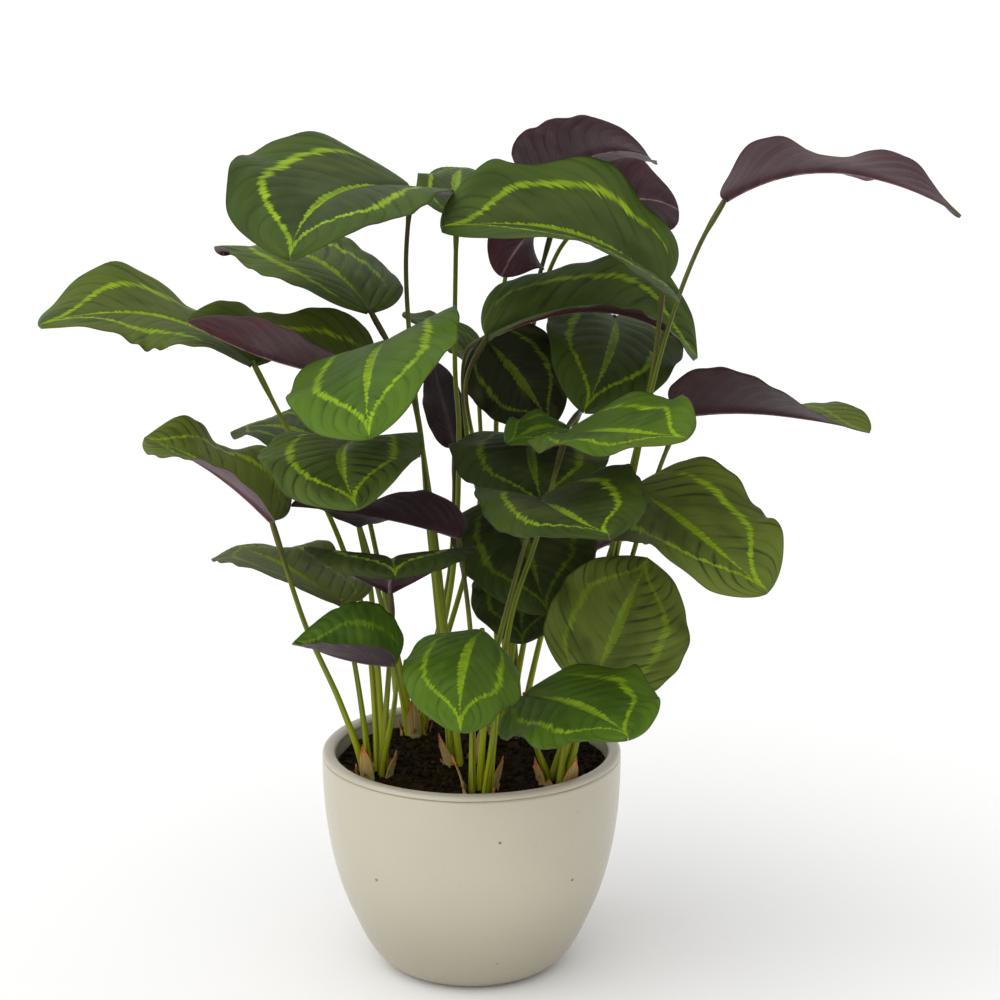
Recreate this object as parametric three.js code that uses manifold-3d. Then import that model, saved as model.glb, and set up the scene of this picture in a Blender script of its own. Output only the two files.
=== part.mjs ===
// Medallion calathea (a prayer plant) growing in a round glazed pot.
// Millimetres, +Z up. The origin is the centre of the pot's flat foot, +X to
// the plant's right and -Y to its front. Every blade is one thin waved body,
// the leaf stalks of a clump are one body, and each clump wears a papery collar.
import * as THREE from 'three';
import Module from 'manifold-3d';
import { mergeVertices } from 'three/addons/utils/BufferGeometryUtils.js';

const wasm = await Module();
wasm.setup();

// Pot
const POT_HEIGHT = 151;
const POT_SIDES = 44;
const POT_OUTSIDE = [
  [46, 0], [56, 2], [64.5, 8.5], [72.5, 20], [80, 36], [88, 56],
  [94.5, 81], [98.6, 109], [100, 136], [100, 146.2],
];
const POT_LIP = [[99, 146.9], [100, 148.2], [98.6, 150.4], [95.4, POT_HEIGHT], [92.4, 150.2]];
const POT_INSIDE = [[91, 147.5], [90.6, 136], [88, 100], [80, 60], [62, 26], [40, 13], [0, 12]];

// Soil: a root ball that fills the pot to 11 mm under the rim
const SOIL_GAP = 0.4;
const SOIL_EDGE = 139;
const SOIL_MOUND = 3;
const SOIL_UNEVEN = 0.6;
const SOIL_BOTTOM_RISE = 3;
const SOIL_RINGS = [0, 0.3, 0.6, 0.85, 1];
const SOIL_SIDES = 30;

// Crowns: where each clump leaves the soil
const CROWN_BOTTOM = 118;
const CROWN_TOP = 143.5;
const CROWN_SIDES = 14;
const COLLAR_SIDES = 18;
const COLLAR_WALL = 1.2;
const COLLAR_GAP = 0.4;
const COLLAR_FLARE = 0.24;
const HOLE_GAP = 0.4;
const HOLE_TOP = 160;
const COLLAR_LEVELS = [0, 0.5, 1];
const COLLAR_RISE = 1.5;
const COLLAR_THINNING = 0.25;
const BRACT_SHARPNESS = 1.3;

// Leaf stalks
const STALK_SIDES = 5;
const STALK_STEPS = 8;
const STALK_FOOT_RADIUS = 2.2;
const STALK_TIP_RADIUS = 1.5;
const STALK_ROOT_Z = 124;
const STALK_END_GAP = 2.6;
const STALK_TAPER = 1.2;

// Blades
const BLADE_THICKNESS = 0.9;
const BLADE_WIDEST = 0.42;
const BLADE_MIN_HALF = 1.6;
const BLADE_BASE_POWER = 2.3;
const BLADE_TIP_POWER = 0.64;
const BLADE_LOBE = 0.4;
const LOBE_FADE = 4;
const FOLD_EASE = 0.35;
const LIFT_POWER = 2.5;
const WAVE_POWER = 2;
const WAVE_FADE = 0.6;
const WAVE_COUNT = 2.1;
const WAVE_COUNT_STEP = 0.35;
const WAVE_PHASE_STEP = 2.4;
const WAVE_SIDE_STEP = 2.1;
const BLADE_STEPS = [0, 0.035, 0.1, 0.2, 0.33, 0.48, 0.63, 0.78, 0.91, 1];
const BLADE_ACROSS = [-1, -0.68, -0.34, 0, 0.34, 0.68, 1];
const BLADE_ACROSS_SMALL = [-1, -0.5, 0, 0.5, 1];

// Colours and roughnesses
const GLAZE = { color: 0xcbc4b0, roughness: 0.35 };
const SOIL = { color: 0x2b241d, roughness: 0.95 };
const STALK = { color: 0x77702a, roughness: 0.55 };
const PAPER = { color: 0xb08a4e, roughness: 0.8 };
const BLADE_ROUGHNESS = 0.5;
const LIGHT_GREEN = 0x6f9136;
const GREEN = 0x4f6b34;
const DARK_GREEN = 0x38492a;
const PURPLE = 0x5b3a48;

// Each clump: centre of its crown, crown radius, and the collar's bracts as
// [bearing in degrees from +X, height in mm, width in degrees].
const CLUMPS = {
  left: { at: [-64, -28], radius: 12, bracts: [[70, 20, 50], [250, 24, 46], [330, 17, 40]] },
  back_left: { at: [-40, 55], radius: 9.5, bracts: [[60, 22, 60], [270, 30, 55]] },
  front: { at: [6, -66], radius: 10.5, bracts: [[185, 24, 50], [25, 20, 45]] },
  middle: { at: [-8, -12], radius: 10.5, bracts: [[225, 24, 55], [20, 30, 50]] },
  right: { at: [57, -43], radius: 14, bracts: [[215, 18, 40], [300, 20, 46]] },
  back_right: { at: [25, 56], radius: 14, bracts: [[200, 26, 46], [290, 24, 46]] },
};

// Each leaf: its clump, the stalk's foot [x, y] and the points it passes, then
// the blade's base, a point half way along the midrib and its tip, the full
// width, the direction the upper face looks at the base and at the tip, how far
// the left and right halves fold up in degrees, the margin's lift (droop when
// negative) and the depth of its waves in mm. Where given, `lobe` is how far the
// base's two lobes reach back, as a share of the half width, and `ripple` is the
// number of waves and their phase along the left margin, then the right one.
const LEAVES = {
  top_left: {
    clump: 'middle', foot: [-10, -7], via: [[-24, 16, 290], [-37, 16, 390], [-42, 18, 470]],
    base: [-37, 2, 524], mid: [-84, -74, 526], tip: [-102, -150, 499],
    lobe: 0.15, width: 126, face: [0.1, -0.25, 1], faceTip: [-0.1, -0.5, 1], fold: [13, 22], lift: -4,
    wave: 5, ripple: [1.2, 0, 2.4, 4.8], color: GREEN,
  },
  left_high: {
    clump: 'middle', foot: [-14, -10], via: [[-28, 10, 298], [-37, -14, 392]],
    base: [-63, -30, 450], mid: [-108, 25, 478], tip: [-168, 80, 473],
    lobe: 0.05, width: 94, face: [-0.1, 0.02, 1], faceTip: [-0.2, 0.1, 1], fold: [14, 0], lift: -3, wave: 8,
    ripple: [0.9, 2.2, 1, 3.3], color: DARK_GREEN,
  },
  far_left: {
    clump: 'left', foot: [-62, -22], via: [[-70, 0, 235], [-86, 14, 285], [-106, 8, 335]],
    base: [-140, -4, 412], mid: [-207, 14, 440], tip: [-273, -20, 439],
    width: 106, face: [0, 0.2, 1], faceTip: [-0.1, -0.35, 1], fold: [6, 18], lift: -3, wave: 13,
    ripple: [0.8, 2.2, 1.6, 1.3], color: GREEN,
  },
  left_folded: {
    clump: 'left', foot: [-58, -24], via: [[-66, -4, 257], [-77, 5, 330]],
    base: [-66, 12, 400], mid: [-122, -16, 416], tip: [-177, -42, 444],
    lobe: 0.55, width: 100, face: [0, 0, 1], faceTip: [0, 0.2, 1], fold: [24, 54], lift: 0, wave: 7,
    ripple: [0.8, -3.1, 1.5, 0], color: PURPLE,
  },
  centre_bright: {
    clump: 'middle', foot: [-8, -17], via: [[-20, 0, 240], [-27, 4, 305], [-34, -24, 380]],
    base: [-46, -51, 436], mid: [-58, -125, 432], tip: [-55, -198, 403],
    width: 110, face: [-0.34, -0.3, 1], faceTip: [-0.2, -0.6, 1], fold: [14, -6], lift: -3, wave: 5,
    ripple: [1.5, 0.3, 2.1, 5.4], color: LIGHT_GREEN,
  },
  left_low: {
    clump: 'left', foot: [-71, -31], via: [[-84, -52, 197], [-104, -77, 258]],
    base: [-124, -70, 324], mid: [-164, -62, 356], tip: [-204, -56, 373],
    width: 98, face: [0, 0.05, 1], faceTip: [0, -0.1, 1], fold: [20, 17], lift: -2, wave: 11,
    ripple: [0.6, 0.6, 1.6, -1], color: GREEN,
  },
  left_behind: {
    clump: 'back_left', foot: [-45, 52], via: [[-66, 34, 260]],
    base: [-92, 30, 352], mid: [-130, 66, 356], tip: [-160, 92, 350],
    width: 66, face: [0, -0.2, 1], faceTip: [0, -0.2, 1], fold: [8, 8], lift: -2, wave: 3,
    color: GREEN, small: true,
  },
  centre_dark: {
    clump: 'back_left', foot: [-42, 50], via: [[-54, 24, 225], [-66, 4, 300], [-73, -22, 345]],
    base: [-74, -44, 370], mid: [-78, -98, 368], tip: [-66, -150, 351],
    width: 100, face: [0, -0.2, 1], faceTip: [0, -0.4, 1], fold: [12, 6], lift: -4, wave: 4,
    ripple: [1.5, 0.3, 2.1, 0], color: DARK_GREEN,
  },
  centre_folded: {
    clump: 'front', foot: [1, -62], via: [[0, -22, 230]],
    base: [-7, -28, 303], mid: [-58, -42, 320], tip: [-114, -44, 326],
    lobe: 0.1, width: 66, face: [0, 0.4, 0.9], faceTip: [-0.1, 0.4, 0.9], fold: [14, 8], lift: 0, wave: 7,
    ripple: [1.2, 5.75, 1.2, 0], color: PURPLE,
  },
  lower_left: {
    clump: 'left', foot: [-67, -35], via: [[-74, -52, 220]],
    base: [-82, -56, 267], mid: [-127, -6, 279], tip: [-158, 36, 280],
    width: 84, face: [0, 0.12, 1], faceTip: [-0.1, 0.05, 1], fold: [15, 7], lift: -3, wave: 7,
    ripple: [0.5, 1.5, 2, 1], color: GREEN,
  },
  low_front: {
    clump: 'left', foot: [-59, -32], via: [[-53, -46, 215], [-50, -54, 254]],
    base: [-51, -62, 276], mid: [-48, -100, 307], tip: [-44, -134, 304],
    lobe: -0.3, width: 104, face: [0, 0.5, 1], faceTip: [0, -0.2, 1], fold: [10, 10], lift: -3, wave: 9,
    ripple: [0.5, 1.57, 0.5, 1.57], color: DARK_GREEN,
  },
  lower_small: {
    clump: 'left', foot: [-59, -34], via: [[-50, -66, 192], [-46, -106, 226]],
    base: [-46, -112, 243], mid: [-76, -104, 244], tip: [-109, -92, 251],
    lobe: 0.25, width: 80, face: [0, -0.1, 1], faceTip: [-0.1, -0.45, 1], fold: [52, 27], lift: -2, wave: 7,
    ripple: [0.5, -1.2, 0.5, -0.7], color: LIGHT_GREEN,
  },
  front_low: {
    clump: 'front', foot: [10, -71], via: [[15, -84, 200]],
    base: [8, -92, 259], mid: [-3, -144, 253], tip: [-4, -190, 225],
    width: 76, face: [-0.4, -0.4, 1], faceTip: [-0.2, -0.9, 1], fold: [-56, 8], lift: -3, wave: 3,
    color: LIGHT_GREEN,
  },
  front_right: {
    clump: 'right', foot: [50, -46], via: [[42, -60, 172]],
    base: [34, -74, 211], mid: [71, -124, 218], tip: [95, -174, 216],
    lobe: 0.1, width: 92, face: [0.1, -0.4, 1], faceTip: [0.1, -0.5, 1], fold: [14, -8], lift: -3, wave: 4,
    color: LIGHT_GREEN,
  },
  right_round: {
    clump: 'right', foot: [64, -46], via: [[70, -55, 178]],
    base: [77, -60, 209], mid: [97, -44, 251], tip: [115, -20, 286],
    lobe: 0, width: 91, face: [0.1, -1, 0.4], faceTip: [0.2, -1, 0.8], fold: [8, 8], lift: -2, wave: 3,
    color: GREEN,
  },
  right_bright: {
    clump: 'front', foot: [12, -66], via: [[26, -64, 258], [42, -62, 309]],
    base: [60, -60, 377], mid: [93, -104, 387], tip: [128, -146, 391],
    width: 90, face: [0.05, -0.6, 1], faceTip: [0, -0.6, 1], fold: [6, 18], lift: -2, wave: 4,
    color: LIGHT_GREEN,
  },
  right_big: {
    clump: 'right', foot: [58, -50], via: [[80, -16, 250], [94, -6, 295]],
    base: [106, -16, 333], mid: [140, -75, 318], tip: [181, -125, 292],
    width: 105, face: [0.05, -0.4, 1], faceTip: [0.2, -0.5, 1], fold: [17, 12], lift: -3, wave: 10,
    ripple: [1.5, 0, 1.6, 1.3], color: GREEN,
  },
  centre_wavy: {
    clump: 'front', foot: [6, -60], via: [[12, -74, 216], [30, -77, 292]],
    base: [43, -84, 341], mid: [60, -135, 342], tip: [82, -180, 341],
    width: 102, face: [-0.05, -0.2, 1], faceTip: [0, -0.3, 1], fold: [18, 20], lift: -4, wave: 8,
    ripple: [0.8, 0.3, 0.9, 1.2], color: GREEN,
  },
  middle_upper: {
    clump: 'back_right', foot: [22, 48], via: [[32, 50, 250]],
    base: [40, 50, 352], mid: [40, 0, 346], tip: [47, -52, 324],
    width: 104, face: [0, -0.3, 1], faceTip: [0, -0.5, 1], fold: [8, 8], lift: -3, wave: 4,
    color: DARK_GREEN,
  },
  middle_lower: {
    clump: 'back_right', foot: [20, 46], via: [[30, 44, 230]],
    base: [30, 36, 312], mid: [37, -2, 288], tip: [50, -38, 254],
    lobe: 0.2, width: 94, face: [0, -0.5, 1], faceTip: [0, -0.8, 1], fold: [6, 6], lift: -3, wave: 4,
    color: DARK_GREEN,
  },
  middle_deep: {
    clump: 'back_right', foot: [16, 50], via: [[22, 50, 205], [34, 46, 245]],
    base: [37, 28, 268], mid: [33, 4, 251], tip: [34, -20, 229],
    lobe: 0.2, width: 66, face: [0, -0.5, 1], faceTip: [0, -0.8, 1], fold: [6, 6], lift: -3, wave: 3,
    color: DARK_GREEN, small: true,
  },
  top_centre: {
    clump: 'right', foot: [60, -40], via: [[76, -30, 220], [97, -10, 310], [116, -8, 400]],
    base: [124, -12, 464], mid: [60, -38, 500], tip: [-16, -72, 507],
    width: 124, face: [0.2, -0.45, 1], faceTip: [0, -0.45, 1], fold: [25, 30], lift: -4, wave: 7,
    ripple: [1, -2.7, 2.45, 2.2], color: GREEN,
  },
  under_top: {
    clump: 'back_right', foot: [28, 46], via: [[14, 62, 270], [2, 60, 340], [-3, 26, 395]],
    base: [10, 8, 427], mid: [90, 38, 440], tip: [151, 50, 406],
    lobe: -0.1, width: 106, face: [0, -0.2, 1], faceTip: [0.2, -0.3, 1], fold: [30, 32], lift: -4, wave: 12,
    ripple: [1, 3, 0, 0], color: DARK_GREEN,
  },
  middle_big: {
    clump: 'back_right', foot: [30, 52], via: [[14, 72, 260], [-4, 80, 350], [-4, 72, 405]],
    base: [8, 58, 419], mid: [32, 54, 391], tip: [54, 46, 360],
    lobe: 0, width: 66, face: [0, -1, 0.3], faceTip: [0, -1, 0.3], fold: [6, 6], lift: -3, wave: 4,
    color: DARK_GREEN,
  },
  middle_sliver: {
    clump: 'back_right', foot: [26, 58], via: [[46, 62, 260], [66, 70, 345], [73, 44, 371]],
    base: [64, 10, 366], mid: [44, -3, 369], tip: [24, -19, 362],
    width: 40, face: [0, -0.3, 1], faceTip: [0, -0.4, 1], fold: [6, 6], lift: -2, wave: 3,
    color: LIGHT_GREEN, small: true,
  },
  right_dark: {
    clump: 'back_right', foot: [34, 60], via: [[70, 95, 290], [97, 121, 380]],
    base: [98, 116, 425], mid: [94, 62, 411], tip: [74, 8, 378],
    width: 94, face: [0.1, -0.2, 1], faceTip: [0, -0.6, 1], fold: [0, 24], lift: -3, wave: 3,
    color: DARK_GREEN,
  },
  top_raised: {
    clump: 'back_right', foot: [18, 52], via: [[16, 76, 260], [18, 92, 400], [26, 98, 470]],
    base: [44, 84, 512], mid: [80, 56, 541], tip: [115, 30, 541],
    lobe: -0.4, width: 116, face: [-0.2, 0.6, 1], faceTip: [0, 0.6, 1], fold: [6, 4], lift: 0, wave: 7,
    ripple: [0.5, 0, 0.5, -1.9], color: PURPLE,
  },
  top_back: {
    clump: 'back_right', foot: [33, 54], via: [[26, 84, 280], [40, 104, 410], [58, 96, 470]],
    base: [80, 74, 500], mid: [110, 48, 513], tip: [134, 16, 508],
    width: 62, face: [0.3, 0.7, 0.7], faceTip: [0.7, 0.7, 0.5], fold: [4, 4], lift: 0, wave: 2,
    color: PURPLE, small: true,
  },
  top_hanging: {
    clump: 'back_right', foot: [25, 64], via: [[28, 76, 250], [34, 96, 400]],
    base: [56, 80, 494], mid: [38, 54, 488], tip: [20, 22, 464],
    lobe: 0.1, width: 50, face: [0.3, 0.9, 0.4], faceTip: [0.3, 0.9, 0.3], fold: [8, 8], lift: 0, wave: 2,
    color: PURPLE, small: true,
  },
  top_behind: {
    clump: 'back_left', foot: [-36, 53], via: [[-14, 64, 250], [-9, 68, 350], [-11, 44, 400]],
    base: [-9, 12, 508], mid: [-10, 62, 524], tip: [-5, 108, 527],
    width: 50, face: [0, -0.05, 1], faceTip: [0, 0.1, 1], fold: [8, 0], lift: -3, wave: 4,
    color: GREEN,
  },
  right_folded: {
    clump: 'right', foot: [54, -38], via: [[90, -10, 230], [122, 6, 335]],
    base: [137, 12, 375], mid: [194, -6, 380], tip: [254, -36, 372],
    width: 92, face: [0, 0.1, 1], faceTip: [0.1, -0.35, 1], fold: [-4, 43], lift: 0, wave: 7,
    ripple: [0.9, 2.2, 0.6, 0.1], color: PURPLE,
  },
  right_high: {
    clump: 'right', foot: [64, -44], via: [[82, -16, 220], [102, -8, 320], [124, -8, 425], [146, 6, 484]],
    base: [164, 20, 515], mid: [233, 2, 535], tip: [308, -26, 509],
    lobe: 0.1, width: 112, face: [-0.2, 0.15, 1], faceTip: [0.2, 0.22, 1], fold: [13, 17], lift: -2, wave: 9,
    ripple: [1.9, 4.65, 1.9, 4.65], color: PURPLE,
  },
  back_grey: {
    clump: 'back_left', foot: [-36, 56], via: [[4, 92, 290]],
    base: [4, 112, 392], mid: [-18, 100, 412], tip: [-46, 82, 430],
    width: 54, face: [-0.3, -0.5, 0.8], faceTip: [-0.3, -0.4, 0.9], fold: [8, 8], lift: -2, wave: 2,
    color: DARK_GREEN, small: true,
  },
  back_red: {
    clump: 'back_left', foot: [-39, 60], via: [[-16, 88, 250]],
    base: [-12, 102, 336], mid: [-20, 88, 368], tip: [-26, 64, 401],
    width: 26, face: [-0.3, 0.9, 0.3], faceTip: [-0.2, 0.9, 0.3], fold: [6, 6], lift: 0, wave: 2,
    color: PURPLE, small: true,
  },
  right_under: {
    clump: 'right', foot: [58, -34], via: [[72, 6, 210]],
    base: [82, 46, 276], mid: [108, 44, 284], tip: [136, 36, 279],
    width: 50, face: [0, 0.5, 1], faceTip: [0, 0.5, 1], fold: [10, 10], lift: 0, wave: 3,
    color: PURPLE, small: true,
  },
};

const root = new THREE.Group();

function vec(p) {
  return new THREE.Vector3(p[0], p[1], p[2]);
}

function meshOf(name, geometry, finish) {
  const material = new THREE.MeshStandardMaterial({ ...finish, metalness: 0 });
  const mesh = new THREE.Mesh(geometry, material);
  mesh.name = name;
  root.add(mesh);
  return mesh;
}

function fromArrays(points, faces) {
  const geometry = new THREE.BufferGeometry();
  geometry.setAttribute('position', new THREE.Float32BufferAttribute(points.flat(), 3));
  geometry.setIndex(faces.flat());
  return geometry;
}

function solidOf(geometry) {
  const bare = geometry.clone();
  bare.deleteAttribute('normal');
  bare.deleteAttribute('uv');
  const merged = mergeVertices(bare, 1e-4);
  return new wasm.Manifold(new wasm.Mesh({
    numProp: 3,
    vertProperties: new Float32Array(merged.attributes.position.array),
    triVerts: new Uint32Array(merged.index.array),
  }));
}

function geometryOf(solid) {
  const mesh = solid.getMesh();
  const geometry = new THREE.BufferGeometry();
  geometry.setAttribute('position', new THREE.Float32BufferAttribute(mesh.vertProperties, 3));
  geometry.setIndex(new THREE.Uint32BufferAttribute(mesh.triVerts, 1));
  return geometry;
}

// Revolves a profile that starts and ends on the axis about +Z.
function revolved(profile, sides) {
  const points = profile.map(([r, z]) => new THREE.Vector2(r, z));
  const geometry = new THREE.LatheGeometry(points, sides);
  geometry.rotateX(Math.PI / 2);
  geometry.computeVertexNormals();
  return geometry;
}

function addPot() {
  const profile = [[0, 0], ...POT_OUTSIDE, ...POT_LIP, ...POT_INSIDE];
  meshOf('pot', revolved(profile, POT_SIDES), GLAZE);
}

// Radius of the pot's inside at a height.
function insideRadius(z) {
  for (let i = 0; i + 1 < POT_INSIDE.length; i += 1) {
    const [r1, z1] = POT_INSIDE[i];
    const [r0, z0] = POT_INSIDE[i + 1];
    if (z <= z1 && z >= z0) {
      return r0 + ((r1 - r0) * (z - z0)) / (z1 - z0);
    }
  }
  return POT_INSIDE[0][0];
}

// Height of the soil at a share of its radius and a bearing.
function soilHeight(share, bearing) {
  const mound = SOIL_MOUND * (1 - share * share);
  const rough = Math.sin(3 * bearing + 5 * share) + Math.sin(7 * bearing - 9 * share);
  return SOIL_EDGE + mound + SOIL_UNEVEN * rough * share * (1 - 0.5 * share);
}

function soilGeometry() {
  const points = [[0, 0, soilHeight(0, 0)]];
  const rings = [];
  for (const share of SOIL_RINGS.slice(1)) {
    const radius = share * (insideRadius(SOIL_EDGE) - SOIL_GAP);
    rings.push((bearing) => [radius, soilHeight(share, bearing)]);
  }
  for (const [r, z] of POT_INSIDE.slice(2, -1)) {
    rings.push(() => [r - SOIL_GAP, z + SOIL_GAP]);
  }
  for (const ring of rings) {
    for (let j = 0; j < SOIL_SIDES; j += 1) {
      const bearing = (2 * Math.PI * j) / SOIL_SIDES;
      const [r, z] = ring(bearing);
      points.push([r * Math.cos(bearing), r * Math.sin(bearing), z]);
    }
  }
  points.push([0, 0, POT_INSIDE.at(-1)[1] + SOIL_BOTTOM_RISE + SOIL_GAP]);
  const last = points.length - 1;
  const faces = [];
  for (let j = 0; j < SOIL_SIDES; j += 1) {
    const k = (j + 1) % SOIL_SIDES;
    faces.push([0, 1 + j, 1 + k]);
    for (let i = 0; i + 1 < rings.length; i += 1) {
      const a = 1 + i * SOIL_SIDES;
      const b = a + SOIL_SIDES;
      faces.push([a + j, b + j, b + k], [a + j, b + k, a + k]);
    }
    const a = 1 + (rings.length - 1) * SOIL_SIDES;
    faces.push([a + j, last, a + k]);
  }
  return fromArrays(points, faces);
}

function cylinder(radius, bottom, top, at, sides) {
  const geometry = new THREE.CylinderGeometry(radius, radius, top - bottom, sides);
  geometry.rotateX(Math.PI / 2);
  geometry.translate(at[0], at[1], (top + bottom) / 2);
  return geometry;
}

function collarOuter(clump) {
  return clump.radius + COLLAR_GAP + COLLAR_WALL;
}

function addSoil() {
  let soil = solidOf(soilGeometry());
  for (const clump of Object.values(CLUMPS)) {
    const radius = collarOuter(clump) + HOLE_GAP;
    const hole = cylinder(radius, CROWN_BOTTOM - HOLE_GAP, HOLE_TOP, clump.at, COLLAR_SIDES);
    soil = soil.subtract(solidOf(hole));
  }
  meshOf('soil', geometryOf(soil), SOIL);
}

// A round bar that follows a curve, closed by a point at each end.
function bar(curve, steps, sides, radiusAt) {
  const points = [];
  const faces = [];
  const centre = new THREE.Vector3();
  let across = new THREE.Vector3(1, 0, 0);
  for (let i = 0; i <= steps; i += 1) {
    const t = i / steps;
    const along = curve.getTangent(t);
    curve.getPoint(t, centre);
    across = across.clone().addScaledVector(along, -across.dot(along)).normalize();
    const up = new THREE.Vector3().crossVectors(along, across);
    for (let j = 0; j < sides; j += 1) {
      const a = (2 * Math.PI * j) / sides;
      const p = centre.clone();
      p.addScaledVector(across, radiusAt(t) * Math.cos(a));
      p.addScaledVector(up, radiusAt(t) * Math.sin(a));
      points.push(p.toArray());
    }
  }
  const first = points.push(curve.getPoint(0).toArray()) - 1;
  const last = points.push(curve.getPoint(1).toArray()) - 1;
  for (let j = 0; j < sides; j += 1) {
    const k = (j + 1) % sides;
    faces.push([first, k, j]);
    for (let i = 0; i < steps; i += 1) {
      const a = i * sides;
      const b = a + sides;
      faces.push([a + j, a + k, b + k], [a + j, b + k, b + j]);
    }
    faces.push([last, steps * sides + j, steps * sides + k]);
  }
  return fromArrays(points, faces);
}

// The midrib: a quadratic curve through base, mid and tip.
function midribOf(leaf) {
  const base = vec(leaf.base);
  const tip = vec(leaf.tip);
  const control = vec(leaf.mid).multiplyScalar(2);
  control.addScaledVector(base, -0.5).addScaledVector(tip, -0.5);
  return new THREE.QuadraticBezierCurve3(base, control, tip);
}

function stalkCurve(leaf) {
  const midrib = midribOf(leaf);
  const end = vec(leaf.base).addScaledVector(midrib.getTangent(0), -STALK_END_GAP);
  const foot = new THREE.Vector3(leaf.foot[0], leaf.foot[1], STALK_ROOT_Z);
  const collar = new THREE.Vector3(leaf.foot[0], leaf.foot[1], CROWN_TOP);
  return new THREE.CatmullRomCurve3([foot, collar, ...leaf.via.map(vec), end], false, 'centripetal');
}

function stalkRadius(t) {
  return STALK_FOOT_RADIUS + (STALK_TIP_RADIUS - STALK_FOOT_RADIUS) * Math.min(1, t * STALK_TAPER);
}

function addStalks(name, clump) {
  let body = solidOf(cylinder(clump.radius, CROWN_BOTTOM, CROWN_TOP, clump.at, CROWN_SIDES));
  for (const leaf of Object.values(LEAVES)) {
    if (leaf.clump === name) {
      body = body.add(solidOf(bar(stalkCurve(leaf), STALK_STEPS, STALK_SIDES, stalkRadius)));
    }
  }
  meshOf(`stalks_${name}`, geometryOf(body), STALK);
}

// A papery ring round a crown whose upper edge rises into pointed bracts.
function addCollar(name, clump) {
  const inner = clump.radius + COLLAR_GAP;
  const rows = 2 * COLLAR_LEVELS.length + 2;
  const points = [];
  const faces = [];
  for (let j = 0; j < COLLAR_SIDES; j += 1) {
    const bearing = (360 * j) / COLLAR_SIDES;
    const out = [Math.cos((bearing * Math.PI) / 180), Math.sin((bearing * Math.PI) / 180)];
    let rise = COLLAR_RISE;
    for (const [at, height, spread] of clump.bracts) {
      const off = Math.abs(((bearing - at + 900) % 360) - 180);
      rise += height * Math.max(0, 1 - off / spread) ** BRACT_SHARPNESS;
    }
    const ring = [[inner, CROWN_BOTTOM]];
    for (const level of COLLAR_LEVELS) {
      const above = level * rise;
      ring.push([inner + COLLAR_FLARE * above, CROWN_TOP + above]);
    }
    for (const level of COLLAR_LEVELS.toReversed()) {
      const above = level * rise;
      const wall = COLLAR_WALL * (1 - COLLAR_THINNING * level);
      ring.push([inner + COLLAR_FLARE * above + wall, CROWN_TOP + above]);
    }
    ring.push([inner + COLLAR_WALL, CROWN_BOTTOM]);
    ring.forEach(([r, z]) => points.push([clump.at[0] + r * out[0], clump.at[1] + r * out[1], z]));
  }
  for (let j = 0; j < COLLAR_SIDES; j += 1) {
    const a = j * rows;
    const b = ((j + 1) % COLLAR_SIDES) * rows;
    for (let i = 0; i < rows; i += 1) {
      const k = (i + 1) % rows;
      faces.push([a + i, a + k, b + k], [a + i, b + k, b + i]);
    }
  }
  meshOf(`sheath_${name}`, fromArrays(points, faces), PAPER);
}

// Share of the half width at a share of the length: a broad oval with a
// rounded base and a short pointed tip.
function outlineAt(u) {
  if (u < BLADE_WIDEST) {
    return Math.sqrt(1 - ((BLADE_WIDEST - u) / BLADE_WIDEST) ** BLADE_BASE_POWER);
  }
  return (1 - ((u - BLADE_WIDEST) / (1 - BLADE_WIDEST)) ** 2) ** BLADE_TIP_POWER;
}

// The margin's wave at a share of the length, side 0 the left and 1 the right.
function rippleAt(leaf, index, side, u) {
  const place = 2 * index + side;
  let count = WAVE_COUNT + WAVE_COUNT_STEP * (place % 3);
  let phase = WAVE_PHASE_STEP * index + WAVE_SIDE_STEP * side;
  if (leaf.ripple) {
    [count, phase] = leaf.ripple.slice(2 * side);
  }
  return Math.sin(2 * Math.PI * count * u + phase) * Math.sin(Math.PI * u) ** WAVE_FADE;
}

// The middle surface of a blade: u runs from base to tip and s from the left
// margin to the right one, seen from above with the tip ahead.
function bladePoint(leaf, index, midrib, u, s) {
  const along = midrib.getTangent(u);
  const face = vec(leaf.face).normalize().lerp(vec(leaf.faceTip).normalize(), u);
  face.addScaledVector(along, -face.dot(along)).normalize();
  const right = new THREE.Vector3().crossVectors(along, face);
  const half = (leaf.width / 2) * outlineAt(u) + BLADE_MIN_HALF;
  const reach = Math.abs(s) * half;
  const side = s < 0 ? 0 : 1;
  const fold = leaf.fold[side] * (1 - FOLD_EASE * u) * (Math.PI / 180);
  const wave = leaf.wave * Math.abs(s) ** WAVE_POWER * rippleAt(leaf, index, side, u);
  const lift = leaf.lift * Math.abs(s) ** LIFT_POWER + wave;
  const point = midrib.getPoint(u);
  point.addScaledVector(along, -(leaf.lobe ?? BLADE_LOBE) * reach * (1 - u) ** LOBE_FADE);
  point.addScaledVector(right, Math.sign(s) * reach * Math.cos(fold));
  point.addScaledVector(face, reach * Math.sin(fold) + lift);
  return point;
}

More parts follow.
